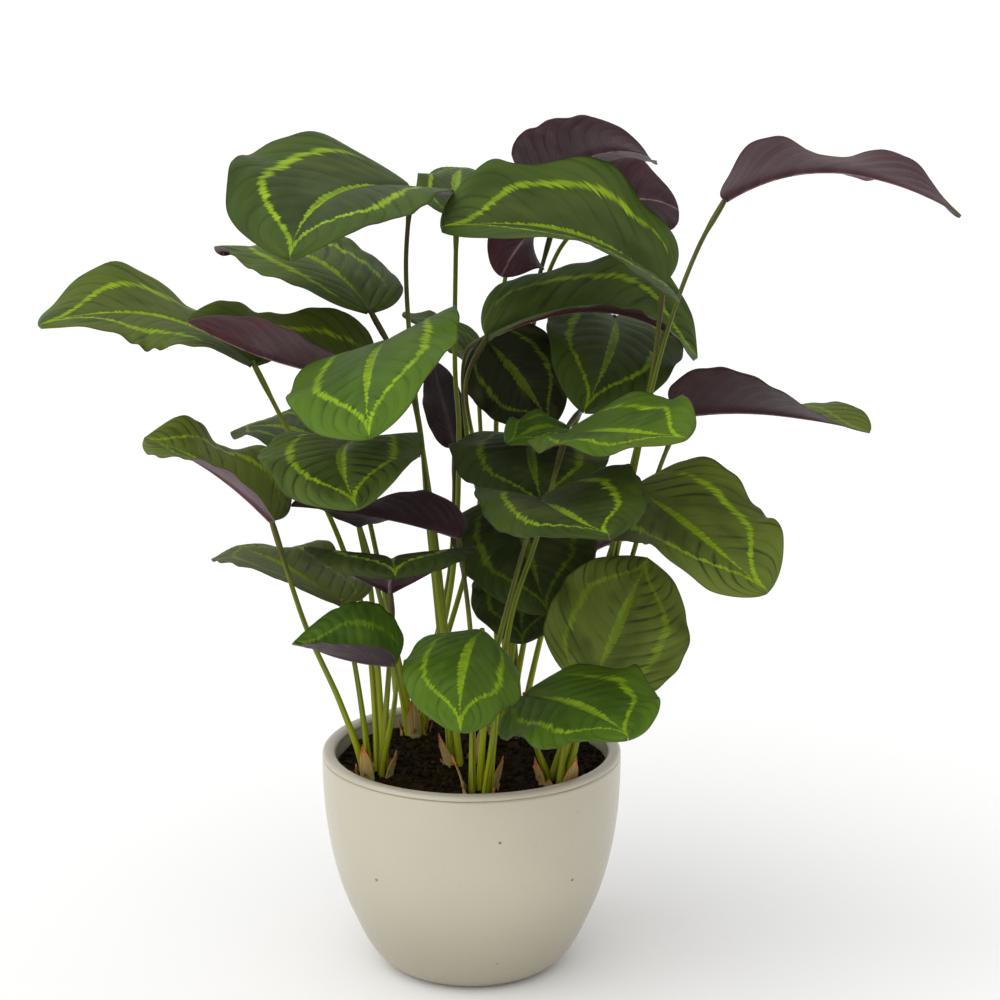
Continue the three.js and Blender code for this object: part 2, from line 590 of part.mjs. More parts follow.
function addBlade(name, leaf, index) {
  const midrib = midribOf(leaf);
  const across = leaf.small ? BLADE_ACROSS_SMALL : BLADE_ACROSS;
  const rows = BLADE_STEPS.length;
  const columns = across.length;
  const middle = BLADE_STEPS.map((u) => across.map((s) => bladePoint(leaf, index, midrib, u, s)));
  const sides = [[], []];
  for (let i = 0; i < rows; i += 1) {
    for (let j = 0; j < columns; j += 1) {
      const ahead = middle[Math.min(i + 1, rows - 1)][j].clone().sub(middle[Math.max(i - 1, 0)][j]);
      const right = middle[i][Math.min(j + 1, columns - 1)].clone().sub(middle[i][Math.max(j - 1, 0)]);
      const normal = right.cross(ahead).normalize();
      sides.forEach((side, k) => {
        const half = (k === 0 ? 0.5 : -0.5) * BLADE_THICKNESS;
        side.push(middle[i][j].clone().addScaledVector(normal, half).toArray());
      });
    }
  }
  const under = rows * columns;
  const faces = [];
  for (let i = 0; i + 1 < rows; i += 1) {
    for (let j = 0; j + 1 < columns; j += 1) {
      const a = i * columns + j;
      const b = a + columns;
      faces.push([a, a + 1, b + 1], [a, b + 1, b]);
      faces.push([under + a, under + b + 1, under + a + 1], [under + a, under + b, under + b + 1]);
    }
  }
  const edge = [];
  for (let j = 0; j + 1 < columns; j += 1) {
    edge.push(j);
  }
  for (let i = 0; i + 1 < rows; i += 1) {
    edge.push(i * columns + columns - 1);
  }
  for (let j = columns - 1; j > 0; j -= 1) {
    edge.push((rows - 1) * columns + j);
  }
  for (let i = rows - 1; i > 0; i -= 1) {
    edge.push(i * columns);
  }
  edge.forEach((a, k) => {
    const b = edge[(k + 1) % edge.length];
    faces.push([a, under + a, under + b], [a, under + b, b]);
  });
  const finish = { color: leaf.color, roughness: BLADE_ROUGHNESS };
  meshOf(`leaf_${name}`, fromArrays([...sides[0], ...sides[1]], faces), finish);
}

addPot();
addSoil();
for (const [name, clump] of Object.entries(CLUMPS)) {
  addStalks(name, clump);
  addCollar(name, clump);
}
Object.entries(LEAVES).forEach(([name, leaf], index) => addBlade(name, leaf, index));

export default root;
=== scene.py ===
import math

import bmesh
import bpy
import numpy as np
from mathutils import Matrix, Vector


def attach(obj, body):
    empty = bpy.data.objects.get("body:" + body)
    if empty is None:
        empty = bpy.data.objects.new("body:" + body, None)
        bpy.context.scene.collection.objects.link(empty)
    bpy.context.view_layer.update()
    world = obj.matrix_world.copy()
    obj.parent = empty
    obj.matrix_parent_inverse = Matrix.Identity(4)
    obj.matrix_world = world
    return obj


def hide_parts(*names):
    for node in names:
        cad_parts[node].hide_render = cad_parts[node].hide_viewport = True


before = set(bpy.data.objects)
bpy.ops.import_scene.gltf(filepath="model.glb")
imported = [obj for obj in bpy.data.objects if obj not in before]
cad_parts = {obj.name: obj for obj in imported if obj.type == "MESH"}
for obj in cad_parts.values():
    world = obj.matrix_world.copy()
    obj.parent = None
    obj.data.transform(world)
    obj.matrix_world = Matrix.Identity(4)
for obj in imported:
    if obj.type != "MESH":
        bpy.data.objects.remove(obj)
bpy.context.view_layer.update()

# A medallion calathea in a round glazed pot. The pieces' sizes are in millimetres,
# as in the part's source, and MM turns them to metres. Sizes within the materials
# are in metres.
MM = 0.001

# Pot
POT_HEIGHT = 151
POT_SIDES = 160
POT_OUTSIDE = [
    (46, 0), (56, 2), (64.5, 8.5), (72.5, 20), (80, 36), (88, 56),
    (94.5, 81), (98.6, 109), (100, 136), (100, 146.2),
]
POT_LIP = [(99.5, 146.9), (100, 147.6), (99.6, 149.2), (98.2, 150.6), (95.4, POT_HEIGHT), (92.8, 150.2)]
POT_INSIDE = [(91.3, 148.5), (90.6, 136), (88, 100), (80, 60), (62, 26), (40, 13), (0, 12)]
POT_FOOT_CENTRE = 30
POT_AXIS = 1e-3
GLAZE_LINE_Z = 147.2
# Dark pits in the glaze: (x, z) on the front of the pot
POT_PITS = [(19, 119), (-61, 84), (66, 82), (17, 26)]

# Soil
SOIL_GAP = 0.4
SOIL_EDGE = 139
SOIL_MOUND = 3
SOIL_SIDES = 180
SOIL_RINGS = 46
CRUMBS = 1500
CRUMB_MARGIN = 3
CRUMB_SIZE = (0.5, 1.5)
CRUMB_STRETCH = (0.5, 1.6)
CRUMB_DENT = 0.18
LARGE_CRUMB_SHARE = 0.07
LARGE_CRUMB = 2.1
PALE_CRUMB_SHARE = 0.05
FIBRES = 260
FIBRE_MARGIN = 8
FIBRE_BEND = 1.4
FIBRE_LENGTH = (5, 15)
FIBRE_RADIUS = (0.16, 0.34)
FIBRE_STEPS = 7

# Stalks
CROWN_TOP = 143.5
STALK_SIDES = 14
STALK_STEPS = 84
STALK_FOOT_RADIUS = 2.2
STALK_TIP_RADIUS = 1.5
STALK_TAPER = 1.2
STALK_FLARE = 0.6
STALK_FLARE_FROM = 22
STALK_FLARE_OVER = 20
STALK_KNEE = 0.5
STALK_ROOT_Z = 124
PULVINUS = 26
CHANNEL_AT = 1.2
CHANNEL_WIDTH = 0.5
CHANNEL_DEPTH = 0.2
STALK_RIBS = 5
STALK_RIB_HEIGHT = 0.03

# Sheaths
COLLAR_GAP = 0.4
COLLAR_FLARE = 0.24
BRACT_ROWS = 22
BRACT_COLUMNS = 15
BRACT_ROOT = 6
BRACT_MIN_HALF = 1.5
BRACT_THICKNESS = 0.35
BRACT_LAYER = 0.25
SMALL_SCALES = 7
SMALL_SCALE_STEP = 51

# Blades
BLADE_WIDEST = 0.42
BLADE_MIN_HALF = 1.6
BLADE_BASE_POWER = 2.3
BLADE_TIP_POWER = 0.64
BLADE_LOBE = 0.4
LOBE_FADE = 4
FOLD_EASE = 0.35
LIFT_POWER = 2.5
WAVE_POWER = 2
WAVE_FADE = 0.6
WAVE_COUNT = 2.1
WAVE_COUNT_STEP = 0.35
WAVE_PHASE_STEP = 2.4
WAVE_SIDE_STEP = 2.1
FRINGE_COUNT = 6.3
BLADE_THICKNESS = 0.5
BLADE_ROWS = 76
BLADE_NEAR_MIDRIB = [0.014, 0.032, 0.06]
BLADE_COLUMNS = 19
MIDRIB_CHANNEL = 1.5
MIDRIB_CHANNEL_WIDTH = 2.6
MIDRIB_RIDGE = 1.5
VEIN_LEAN = 0.27
VEIN_CURL = 0.12
PLEATS = 10.5
PLEAT_DEPTH = 0.75
FINE_VEINS = 8
RING_AT = 0.63
SEED_STEP = 0.0173
# What a map's values are divided by, so that they stay within 0 to 1
MAP_SCALE = 100

# Stage, in metres and degrees; lens and sensor in millimetres
CAMERA_AT = (0.019, -1.508, 0.668)
CAMERA_PITCH = 77
CAMERA_LENS = 85
SENSOR_WIDTH = 36
SUN_AT = (-2.1, -2.1, 3.3)
SUN_AIM = (0, 0, 0.3)
SUN_STRENGTH = 1.5
SUN_SPREAD = 80
SKY_STRENGTH = 0.77
FLOOR_HALF = 60

# Each clump's centre, the radius of its crown, and its bracts: (bearing in
# degrees, height, spread in degrees)
CLUMPS = {
    "left": dict(at=(-64, -28), radius=12, bracts=[(70, 20, 50), (250, 24, 46), (330, 17, 40)]),
    "back_left": dict(at=(-40, 55), radius=9.5, bracts=[(60, 22, 60), (270, 30, 55)]),
    "front": dict(at=(6, -66), radius=10.5, bracts=[(185, 24, 50), (25, 20, 45)]),
    "middle": dict(at=(-8, -12), radius=10.5, bracts=[(225, 24, 55), (20, 30, 50)]),
    "right": dict(at=(57, -43), radius=14, bracts=[(215, 18, 40), (300, 20, 46)]),
    "back_right": dict(at=(25, 56), radius=14, bracts=[(200, 26, 46), (290, 24, 46)]),
}

# Each leaf: its clump, the stalk's foot and the points it passes; the blade's
# base, the middle of its midrib and its tip, its width and where the upper face
# looks at base and tip; the fold of the left and right halves in degrees, the lift
# of the margin and the depth of its waves. Where given, lobe is how far the base's
# lobes reach back as a share of the half width, and ripple is the number of waves
# and their phase along the left margin, then the right one. Tone picks the upper
# green. Tint leans the upper face from deep green (0) to bright olive (1)
# or near black (-1) and warms the lower one. Mark is how strongly the lime shows
# above and how light the lower face is.
# Tone, tint and mark also paint light and shade on whole blades: the bright, green and dark tones are lit
# and shaded copies of one leaf green; a tint above zero paints light with a lighter olive, partly the
# blade's own hue, and one below zero paints shade; a low mark is partly fainter lime and partly painted
# shade, dimming the lime above and darkening the lower face.
LEAF_KEYS = "clump foot via base mid tip width face face_tip fold lift wave".split()


def leaf(*values, tone="green", **rest):
    return dict(zip(LEAF_KEYS, values), tone=tone, **rest)


LEAVES = {
    "top_left": leaf("middle", (-10, -7), [(-24, 16, 290), (-37, 16, 390), (-42, 18, 470)],
        (-37, 2, 524), (-84, -74, 526), (-102, -150, 499), 126, (0.1, -0.25, 1), (-0.1, -0.5, 1),
        (13, 22), -4, 5, lobe=0.15, ripple=(1.2, 0, 2.4, 4.8), tint=-0.08, mark=1),
    "left_high": leaf("middle", (-14, -10), [(-28, 10, 298), (-37, -14, 392)],
        (-63, -30, 450), (-108, 25, 478), (-168, 80, 473), 94, (-0.1, 0.02, 1), (-0.2, 0.1, 1),
        (14, 0), -3, 8, lobe=0.05, ripple=(0.9, 2.2, 1, 3.3), tone="dark", tint=1, mark=0.85),
    "far_left": leaf("left", (-62, -22), [(-70, 0, 235), (-86, 14, 285), (-106, 8, 335)],
        (-140, -4, 412), (-207, 14, 440), (-273, -20, 439), 106, (0, 0.2, 1), (-0.1, -0.35, 1),
        (6, 18), -3, 13, ripple=(0.8, 2.2, 1.6, 1.3), tint=0.6, mark=0.95),
    "left_folded": leaf("left", (-58, -24), [(-66, -4, 257), (-77, 5, 330)],
        (-66, 12, 400), (-122, -16, 416), (-177, -42, 444), 100, (0, 0, 1), (0, 0.2, 1),
        (24, 54), 0, 7, lobe=0.55, ripple=(0.8, -3.1, 1.5, 0), tone="purple", tint=0.5, mark=0.9),
    "centre_bright": leaf("middle", (-8, -17), [(-20, 0, 240), (-27, 4, 305), (-34, -24, 380)],
        (-46, -51, 436), (-58, -125, 432), (-55, -198, 403), 110, (-0.34, -0.3, 1), (-0.2, -0.6, 1),
        (14, -6), -3, 5, ripple=(1.5, 0.3, 2.1, 5.4), tone="bright", tint=0.25, mark=0.95),
    "left_low": leaf("left", (-71, -31), [(-84, -52, 197), (-104, -77, 258)],
        (-124, -70, 324), (-164, -62, 356), (-204, -56, 373), 98, (0, 0.05, 1), (0, -0.1, 1),
        (20, 17), -2, 11, ripple=(0.6, 0.6, 1.6, -1), tint=1, mark=0.68),
    "left_behind": leaf("back_left", (-45, 52), [(-66, 34, 260)],
        (-92, 30, 352), (-130, 66, 356), (-160, 92, 350), 66, (0, -0.2, 1), (0, -0.2, 1),
        (8, 8), -2, 3, tint=0.2, mark=0.7),
    "centre_dark": leaf("back_left", (-42, 50), [(-54, 24, 225), (-66, 4, 300), (-73, -22, 345)],
        (-74, -44, 370), (-78, -98, 368), (-66, -150, 351), 100, (0, -0.2, 1), (0, -0.4, 1),
        (12, 6), -4, 4, ripple=(1.5, 0.3, 2.1, 0), tone="dark", tint=0.95, mark=0.9),
    "centre_folded": leaf("front", (1, -62), [(0, -22, 230)],
        (-7, -28, 303), (-58, -42, 320), (-114, -44, 326), 66, (0, 0.4, 0.9), (-0.1, 0.4, 0.9),
        (14, 8), 0, 7, lobe=0.1, ripple=(1.2, 5.75, 1.2, 0), tone="purple", tint=0.3, mark=0.38),
    "lower_left": leaf("left", (-67, -35), [(-74, -52, 220)],
        (-82, -56, 267), (-127, -6, 279), (-158, 36, 280), 84, (0, 0.12, 1), (-0.1, 0.05, 1),
        (15, 7), -3, 7, ripple=(0.5, 1.5, 2, 1), tint=0.95, mark=0.6),
    "low_front": leaf("left", (-59, -32), [(-53, -46, 215), (-50, -54, 254)],
        (-51, -62, 276), (-48, -100, 307), (-44, -134, 304), 104, (0, 0.5, 1), (0, -0.2, 1),
        (10, 10), -3, 9, lobe=-0.3, ripple=(0.5, 1.57, 0.5, 1.57), tone="dark", tint=-0.35, mark=0.6),
    "lower_small": leaf("left", (-59, -34), [(-50, -66, 192), (-46, -106, 226)],
        (-46, -112, 243), (-76, -104, 244), (-109, -92, 251), 80, (0, -0.1, 1), (-0.1, -0.45, 1),
        (52, 27), -2, 7, lobe=0.25, ripple=(0.5, -1.2, 0.5, -0.7), tone="bright", tint=-0.25, mark=0.36),
    "front_low": leaf("front", (10, -71), [(15, -84, 200)],
        (8, -92, 259), (-3, -144, 253), (-4, -190, 225), 76, (-0.4, -0.4, 1), (-0.2, -0.9, 1),
        (-56, 8), -3, 3, tone="bright", tint=0.35, mark=0.85),
    "front_right": leaf("right", (50, -46), [(42, -60, 172)],
        (34, -74, 211), (71, -124, 218), (95, -174, 216), 92, (0.1, -0.4, 1), (0.1, -0.5, 1),
        (14, -8), -3, 4, lobe=0.1, tone="bright", tint=0.25, mark=0.8),
    "right_round": leaf("right", (64, -46), [(70, -55, 178)],
        (77, -60, 209), (97, -44, 251), (115, -20, 286), 91, (0.1, -1, 0.4), (0.2, -1, 0.8),
        (8, 8), -2, 3, lobe=0, tint=1, mark=0.4),
    "right_bright": leaf("front", (12, -66), [(26, -64, 258), (42, -62, 309)],
        (60, -60, 377), (93, -104, 387), (128, -146, 391), 90, (0.05, -0.6, 1), (0, -0.6, 1),
        (6, 18), -2, 4, tone="bright", tint=0.5, mark=0.9),
    "right_big": leaf("right", (58, -50), [(80, -16, 250), (94, -6, 295)],
        (106, -16, 333), (140, -75, 318), (181, -125, 292), 105, (0.05, -0.4, 1), (0.2, -0.5, 1),
        (17, 12), -3, 10, ripple=(1.5, 0, 1.6, 1.3), tint=1, mark=0.85),
    "centre_wavy": leaf("front", (6, -60), [(12, -74, 216), (30, -77, 292)],
        (43, -84, 341), (60, -135, 342), (82, -180, 341), 102, (-0.05, -0.2, 1), (0, -0.3, 1),
        (18, 20), -4, 8, ripple=(0.8, 0.3, 0.9, 1.2), tint=-0.25, mark=0.85),
    "middle_upper": leaf("back_right", (22, 48), [(32, 50, 250)],
        (40, 50, 352), (40, 0, 346), (47, -52, 324), 104, (0, -0.3, 1), (0, -0.5, 1),
        (8, 8), -3, 4, tone="dark", tint=-0.1, mark=0.45),
    "middle_lower": leaf("back_right", (20, 46), [(30, 44, 230)],
        (30, 36, 312), (37, -2, 288), (50, -38, 254), 94, (0, -0.5, 1), (0, -0.8, 1),
        (6, 6), -3, 4, lobe=0.2, tone="dark", tint=-0.15, mark=0.3),
    "middle_deep": leaf("back_right", (16, 50), [(22, 50, 205), (34, 46, 245)],
        (37, 28, 268), (33, 4, 251), (34, -20, 229), 66, (0, -0.5, 1), (0, -0.8, 1),
        (6, 6), -3, 3, lobe=0.2, tone="dark", tint=-0.4, mark=0.25),
    "top_centre": leaf("right", (60, -40), [(76, -30, 220), (97, -10, 310), (116, -8, 400)],
        (124, -12, 464), (60, -38, 500), (-16, -72, 507), 124, (0.2, -0.45, 1), (0, -0.45, 1),
        (25, 30), -4, 7, ripple=(1, -2.7, 2.45, 2.2), tint=0.08, mark=0.8),
    "under_top": leaf("back_right", (28, 46), [(14, 62, 270), (2, 60, 340), (-3, 26, 395)],
        (10, 8, 427), (90, 38, 440), (151, 50, 406), 106, (0, -0.2, 1), (0.2, -0.3, 1),
        (30, 32), -4, 12, lobe=-0.1, ripple=(1, 3, 0, 0), tone="dark", tint=0.85, mark=0.8),
    "middle_big": leaf("back_right", (30, 52), [(14, 72, 260), (-4, 80, 350), (-4, 72, 405)],
        (8, 58, 419), (32, 54, 391), (54, 46, 360), 66, (0, -1, 0.3), (0, -1, 0.3),
        (6, 6), -3, 4, lobe=0, tone="dark", tint=-0.8, mark=0.3),
    "middle_sliver": leaf("back_right", (26, 58), [(46, 62, 260), (66, 70, 345), (73, 44, 371)],
        (64, 10, 366), (44, -3, 369), (24, -19, 362), 40, (0, -0.3, 1), (0, -0.4, 1),
        (6, 6), -2, 3, tone="bright", tint=0, mark=0.5),
    "right_dark": leaf("back_right", (34, 60), [(70, 95, 290), (97, 121, 380)],
        (98, 116, 425), (94, 62, 411), (74, 8, 378), 94, (0.1, -0.2, 1), (0, -0.6, 1),
        (0, 24), -3, 3, tone="dark", tint=0.35, mark=0.65),
    "top_raised": leaf("back_right", (18, 52), [(16, 76, 260), (18, 92, 400), (26, 98, 470)],
        (44, 84, 512), (80, 56, 541), (115, 30, 541), 116, (-0.2, 0.6, 1), (0, 0.6, 1),
        (6, 4), 0, 7, lobe=-0.4, ripple=(0.5, 0, 0.5, -1.9), tone="purple", tint=0.1, mark=1),
    "top_back": leaf("back_right", (33, 54), [(26, 84, 280), (40, 104, 410), (58, 96, 470)],
        (80, 74, 500), (110, 48, 513), (134, 16, 508), 62, (0.3, 0.7, 0.7), (0.7, 0.7, 0.5),
        (4, 4), 0, 2, tone="purple", tint=0, mark=0.8),
    "top_hanging": leaf("back_right", (25, 64), [(28, 76, 250), (34, 96, 400)],
        (56, 80, 494), (38, 54, 488), (20, 22, 464), 50, (0.3, 0.9, 0.4), (0.3, 0.9, 0.3),
        (8, 8), 0, 2, lobe=0.1, tone="purple", tint=0.7, mark=0.6),
    "top_behind": leaf("back_left", (-36, 53), [(-14, 64, 250), (-9, 68, 350), (-11, 44, 400)],
        (-9, 12, 508), (-10, 62, 524), (-5, 108, 527), 50, (0, -0.05, 1), (0, 0.1, 1),
        (8, 0), -3, 4, tint=0, mark=0.7),
    "right_folded": leaf("right", (54, -38), [(90, -10, 230), (122, 6, 335)],
        (137, 12, 375), (194, -6, 380), (254, -36, 372), 92, (0, 0.1, 1), (0.1, -0.35, 1),
        (-4, 43), 0, 7, ripple=(0.9, 2.2, 0.6, 0.1), tone="purple", tint=0.9, mark=0.45),
    "right_high": leaf("right", (64, -44), [(82, -16, 220), (102, -8, 320), (124, -8, 425), (146, 6, 484)],
        (164, 20, 515), (233, 2, 535), (308, -26, 509), 112, (-0.2, 0.15, 1), (0.2, 0.22, 1),
        (13, 17), -2, 9, lobe=0.1, ripple=(1.9, 4.65, 1.9, 4.65), tone="purple", tint=0.35, mark=0.75),
    "back_grey": leaf("back_left", (-36, 56), [(4, 92, 290)],
        (4, 112, 392), (-18, 100, 412), (-46, 82, 430), 54, (-0.3, -0.5, 0.8), (-0.3, -0.4, 0.9),
        (8, 8), -2, 2, tone="dark", tint=0.4, mark=0.3),
    "back_red": leaf("back_left", (-39, 60), [(-16, 88, 250)],
        (-12, 102, 336), (-20, 88, 368), (-26, 64, 401), 26, (-0.3, 0.9, 0.3), (-0.2, 0.9, 0.3),
        (6, 6), 0, 2, tone="purple", tint=0.4, mark=0.2),
    "right_under": leaf("right", (58, -34), [(72, 6, 210)],
        (82, 46, 276), (108, 44, 284), (136, 36, 279), 50, (0, 0.5, 1), (0, 0.5, 1),
        (10, 10), 0, 3, tone="purple", tint=0, mark=0.7),
}
SLOTS = {"bright": "leaf_bright", "green": "leaf_green", "dark": "leaf_dark", "purple": "leaf_underside"}


# ---- small tools

def unit(v):
    return v / np.maximum(np.linalg.norm(v, axis=-1, keepdims=True), 1e-12)


def smooth(low, high, x):
    t = np.clip((x - low) / (high - low), 0, 1)
    return t * t * (3 - 2 * t)


def waves(x, y, seed, count=6, lowest=0.6, ratio=1.7, fade=0.62):
    """A cheap smooth noise in about -1..1: sums of sines at seeded angles."""
    rng = np.random.default_rng(seed)
    total = np.zeros(np.broadcast(x, y).shape)
    scale, size, sizes = lowest, 1.0, 0.0
    for _ in range(count):
        angle, phase, other = rng.uniform(0, 2 * np.pi, 3)
        total += size * np.sin(scale * (x * np.cos(angle) + y * np.sin(angle)) * 2 * np.pi + phase)
        total += size * np.sin(scale * (y * np.cos(angle) - x * np.sin(angle)) * 2 * np.pi + other)
        sizes += 2 * size
        scale *= ratio
        size *= fade
    return total / sizes * 1.6


def spline(points, at):
    """Centripetal Catmull-Rom through points, sampled at shares of its spans."""
    p = np.array(points, float)
    p = np.concatenate([[2 * p[0] - p[1]], p, [2 * p[-1] - p[-2]]])
    spans = len(points) - 1
    out = []
    for share in at:
        span = min(int(share * spans), spans - 1)
        t = share * spans - span
        a, b, c, d = p[span:span + 4]
        d0, d1, d2 = (max(np.linalg.norm(y - x), 1e-8) ** 0.5 for x, y in ((a, b), (b, c), (c, d)))
        m1 = ((b - a) / d0 - (c - a) / (d0 + d1) + (c - b) / d1) * d1
        m2 = ((c - b) / d1 - (d - b) / (d1 + d2) + (d - c) / d2) * d1
        h = (2 * b - 2 * c + m1 + m2) * t ** 3 + (3 * c - 3 * b - 2 * m1 - m2) * t ** 2 + m1 * t + b
        out.append(h)
    return np.array(out)


def grid_faces(rows, columns, closed=False, flip=False):
    """Quads over a grid of points; closed joins the last column to the first."""
    across = columns if closed else columns - 1
    i, j = np.meshgrid(np.arange(rows - 1), np.arange(across), indexing="ij")
    k = (j + 1) % columns
    a, b = i * columns + j, i * columns + k
    c, d = (i + 1) * columns + k, (i + 1) * columns + j
    faces = np.stack([a, b, c, d], -1).reshape(-1, 4)
    return faces[:, ::-1] if flip else faces


def grid_edge(rows, columns):
    """The grid's outer vertices in order, once round."""
    low = list(range(columns - 1))
    right = [i * columns + columns - 1 for i in range(rows - 1)]
    high = [(rows - 1) * columns + j for j in range(columns - 1, 0, -1)]
    left = [i * columns for i in range(rows - 1, 0, -1)]
    return np.array(low + right + high + left)


def put_in_scene(name, data):
    thing = bpy.data.objects.new(name, data)
    bpy.context.scene.collection.objects.link(thing)
    return thing


class Builder:
    """Collects vertices and faces of one piece, with up to three UV maps per corner."""

    def __init__(self):
        self.points, self.faces, self.slots, self.uvs = [], [], [], []
        self.count = 0

    def add(self, points, faces, uv, slot=0):
        self.points.append(points)
        self.faces.extend((faces + self.count).tolist())
        self.slots.extend([slot] * len(faces))
        self.uvs.append(uv[faces].reshape(-1, uv.shape[-1]))
        self.count += len(points)

    def piece(self, name, materials, node, slot):
        mesh = bpy.data.meshes.new(name)
        mesh.from_pydata((np.concatenate(self.points) * MM).tolist(), [], self.faces)
        uv = np.concatenate(self.uvs)
        for k, label in enumerate(("blade", "span", "tint")[: uv.shape[1] // 2]):
            layer = mesh.uv_layers.new(name=label)
            layer.uv.foreach_set("vector", uv[:, 2 * k:2 * k + 2].astype(np.float32).ravel())
        for material in materials:
            mesh.materials.append(material)
        mesh.polygons.foreach_set("material_index", self.slots)
        mesh.polygons.foreach_set("use_smooth", [True] * len(self.faces))
        mesh.update()
        piece = put_in_scene(name, mesh)
        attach(piece, "root")
        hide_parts(node)
        return piece


# ---- shaders in short

def tinted(colour, by, plus=0.0):
    """A colour scaled by one number, or by one for each channel, then raised."""
    return tuple(float(c) for c in np.array(colour) * by + plus)


class Shader:
    """Short calls for building one material's node tree."""

    def __init__(self, name, **settings):
        self.material = bpy.data.materials.new(name)
        self.material.use_nodes = True
        self.tree = self.material.node_tree
        self.surface = self.tree.nodes["Principled BSDF"]
        for key, value in settings.items():
            self.surface.inputs[key.replace("_", " ")].default_value = value

    def put(self, socket, value):
        if isinstance(value, bpy.types.NodeSocket):
            self.tree.links.new(value, socket)
        else:
            socket.default_value = value

    def node(self, kind, inputs=None, output=0, **settings):
        made = self.tree.nodes.new("ShaderNode" + kind)
        for key, value in settings.items():
            setattr(made, key, value)
        for key, value in (inputs or {}).items():
            self.put(made.inputs[key], value)
        return made.outputs[output]

    def math(self, operation, a, b=0.0, c=0.0):
        return self.node("Math", {0: a, 1: b, 2: c}, operation=operation)

    def add(self, a, b):
        return self.math("ADD", a, b)

    def less(self, a, b):
        return self.math("SUBTRACT", a, b)

    def times(self, a, b):
        return self.math("MULTIPLY", a, b)

    def absolute(self, a):
        return self.math("ABSOLUTE", a)

    def ramp(self, value, low, high, start=0.0, end=1.0):
        """From start to end, softly, while the value goes from low to high."""
        inputs = {0: value, 1: low, 2: high, 3: start, 4: end}
        return self.node("MapRange", inputs, interpolation_type="SMOOTHSTEP")

    def mix(self, share, a, b):
        a = a if isinstance(a, bpy.types.NodeSocket) else (*a, 1)
        b = b if isinstance(b, bpy.types.NodeSocket) else (*b, 1)
        return self.node("Mix", {0: share, 6: a, 7: b}, 2, data_type="RGBA")

    def cover(self, colour, *layers):
        """Lays (share, colour) layers over a colour, one after another."""
        for share, layer in layers:
            colour = self.mix(share, colour, layer)
        return colour

    def vector(self, x, y, z):
        return self.node("CombineXYZ", {0: x, 1: y, 2: z})

    def noise(self, place, scale=1.0, detail=2.0, roughness=0.5):
        inputs = {"Vector": place, "Scale": scale, "Detail": detail, "Roughness": roughness}
        return self.node("TexNoise", inputs)

    def field(self, x, x_scale, y, y_scale, seed, detail, roughness=0.5):
        """Noise over two values, each stretched by its own scale."""
        place = self.vector(self.times(x, x_scale), self.times(y, y_scale), seed)
        return self.noise(place, 1.0, detail, roughness)

    def split(self, place):
        made = self.tree.nodes.new("ShaderNodeSeparateXYZ")
        self.put(made.inputs[0], place)
        return made.outputs

    def map(self, name):
        """The two values that the piece's UV map of that name holds."""
        first, second, _ = self.split(self.node("UVMap", uv_map=name))
        return first, second

    def object_place(self):
        return self.node("TexCoord", output=3)

    def finish(self, colour, rough, height, distance, strength):
        """Sets the colour, the roughness and a bump; returns the material."""
        inputs = {"Height": height, "Distance": distance, "Strength": strength}
        self.put(self.surface.inputs["Base Color"], colour)
        self.put(self.surface.inputs["Roughness"], rough)
        self.put(self.surface.inputs["Normal"], self.node("Bump", inputs))
        return self.material


class BladeShader(Shader):
    """A shader that knows its place on a blade.

    u runs from base to tip, a from midrib to margin, side is -1 or 1, away is in
    mm from the midrib, and vein is the same along a whole side vein.
    """

    def __init__(self, name, side_shift, shift, **settings):
        super().__init__(name, **settings)
        x, self.u = self.map("blade")
        span, seed = self.map("span")
        self.tint, self.mark = self.map("tint")
        s = self.math("MULTIPLY_ADD", x, 2.0, -1.0)
        self.side = self.math("SIGN", s)
        self.a = self.absolute(s)
        curl = self.times(self.math("POWER", self.a, 3.0), VEIN_CURL)
        self.vein = self.less(self.u, self.add(self.times(self.a, VEIN_LEAN), curl))
        self.away = self.times(span, MAP_SCALE)
        seed = self.add(self.times(seed, MAP_SCALE), self.times(self.side, side_shift))
        self.seed = self.add(seed, shift)

    def streaks(self, fine, long, detail=2.0, shift=0.0):
        """Noise drawn out along the side veins."""
        return self.field(self.vein, fine, self.a, long, self.add(self.seed, shift), detail, 0.6)

    def clouds(self, along, across, shift, detail=3.0):
        """Soft patches that take no heed of the veins."""
        return self.field(self.u, along, self.a, across, self.add(self.seed, shift), detail)

    def veins(self, count):
        """0 on each side vein and 1 half way to the next."""
        return self.absolute(self.math("SINE", self.times(self.vein, math.pi * count)))


# ---- materials

LIME = (0.27, 0.43, 0.010)
UPPER_RIM = (0.03, 0.03, 0.012)
# Each tone's green inside and outside the lime ring, its lean to olive as factors
# of the outer green, partly the leaf's own hue and partly painted light, and its
# least roughness. The bright, green and dark tones are lit and shaded copies of one
# leaf green: painted light and painted shade.
UPPER = {
    "bright": ((0.036, 0.084, 0.004), (0.060, 0.124, 0.007), (1.95, 1.5, 2.4), 0.46),
    "green": ((0.031, 0.052, 0.008), (0.049, 0.084, 0.010), (2.6, 1.98, 2.2), 0.48),
    "dark": ((0.0235, 0.038, 0.007), (0.037, 0.060, 0.009), (2.35, 2.3, 2.3), 0.5),
}
# The lean to near black as factors of the outer green: painted shade on blades in deep shade
PAINTED_SHADE_LEAN = (0.27, 0.15, 0.2)

AUBERGINE = (0.080, 0.034, 0.047)
# Lighter grey-violet: painted sheen on the underside
PAINTED_GREY_SHEEN = (0.120, 0.066, 0.084)
WARM_PURPLE = (0.078, 0.019, 0.021)
RED_PATCH = (0.17, 0.042, 0.05)
PALE_STREAK = (0.16, 0.105, 0.13)
UNDER_VEIN = (0.045, 0.02, 0.028)
UNDER_MIDRIB = (0.5, 0.33, 0.31)
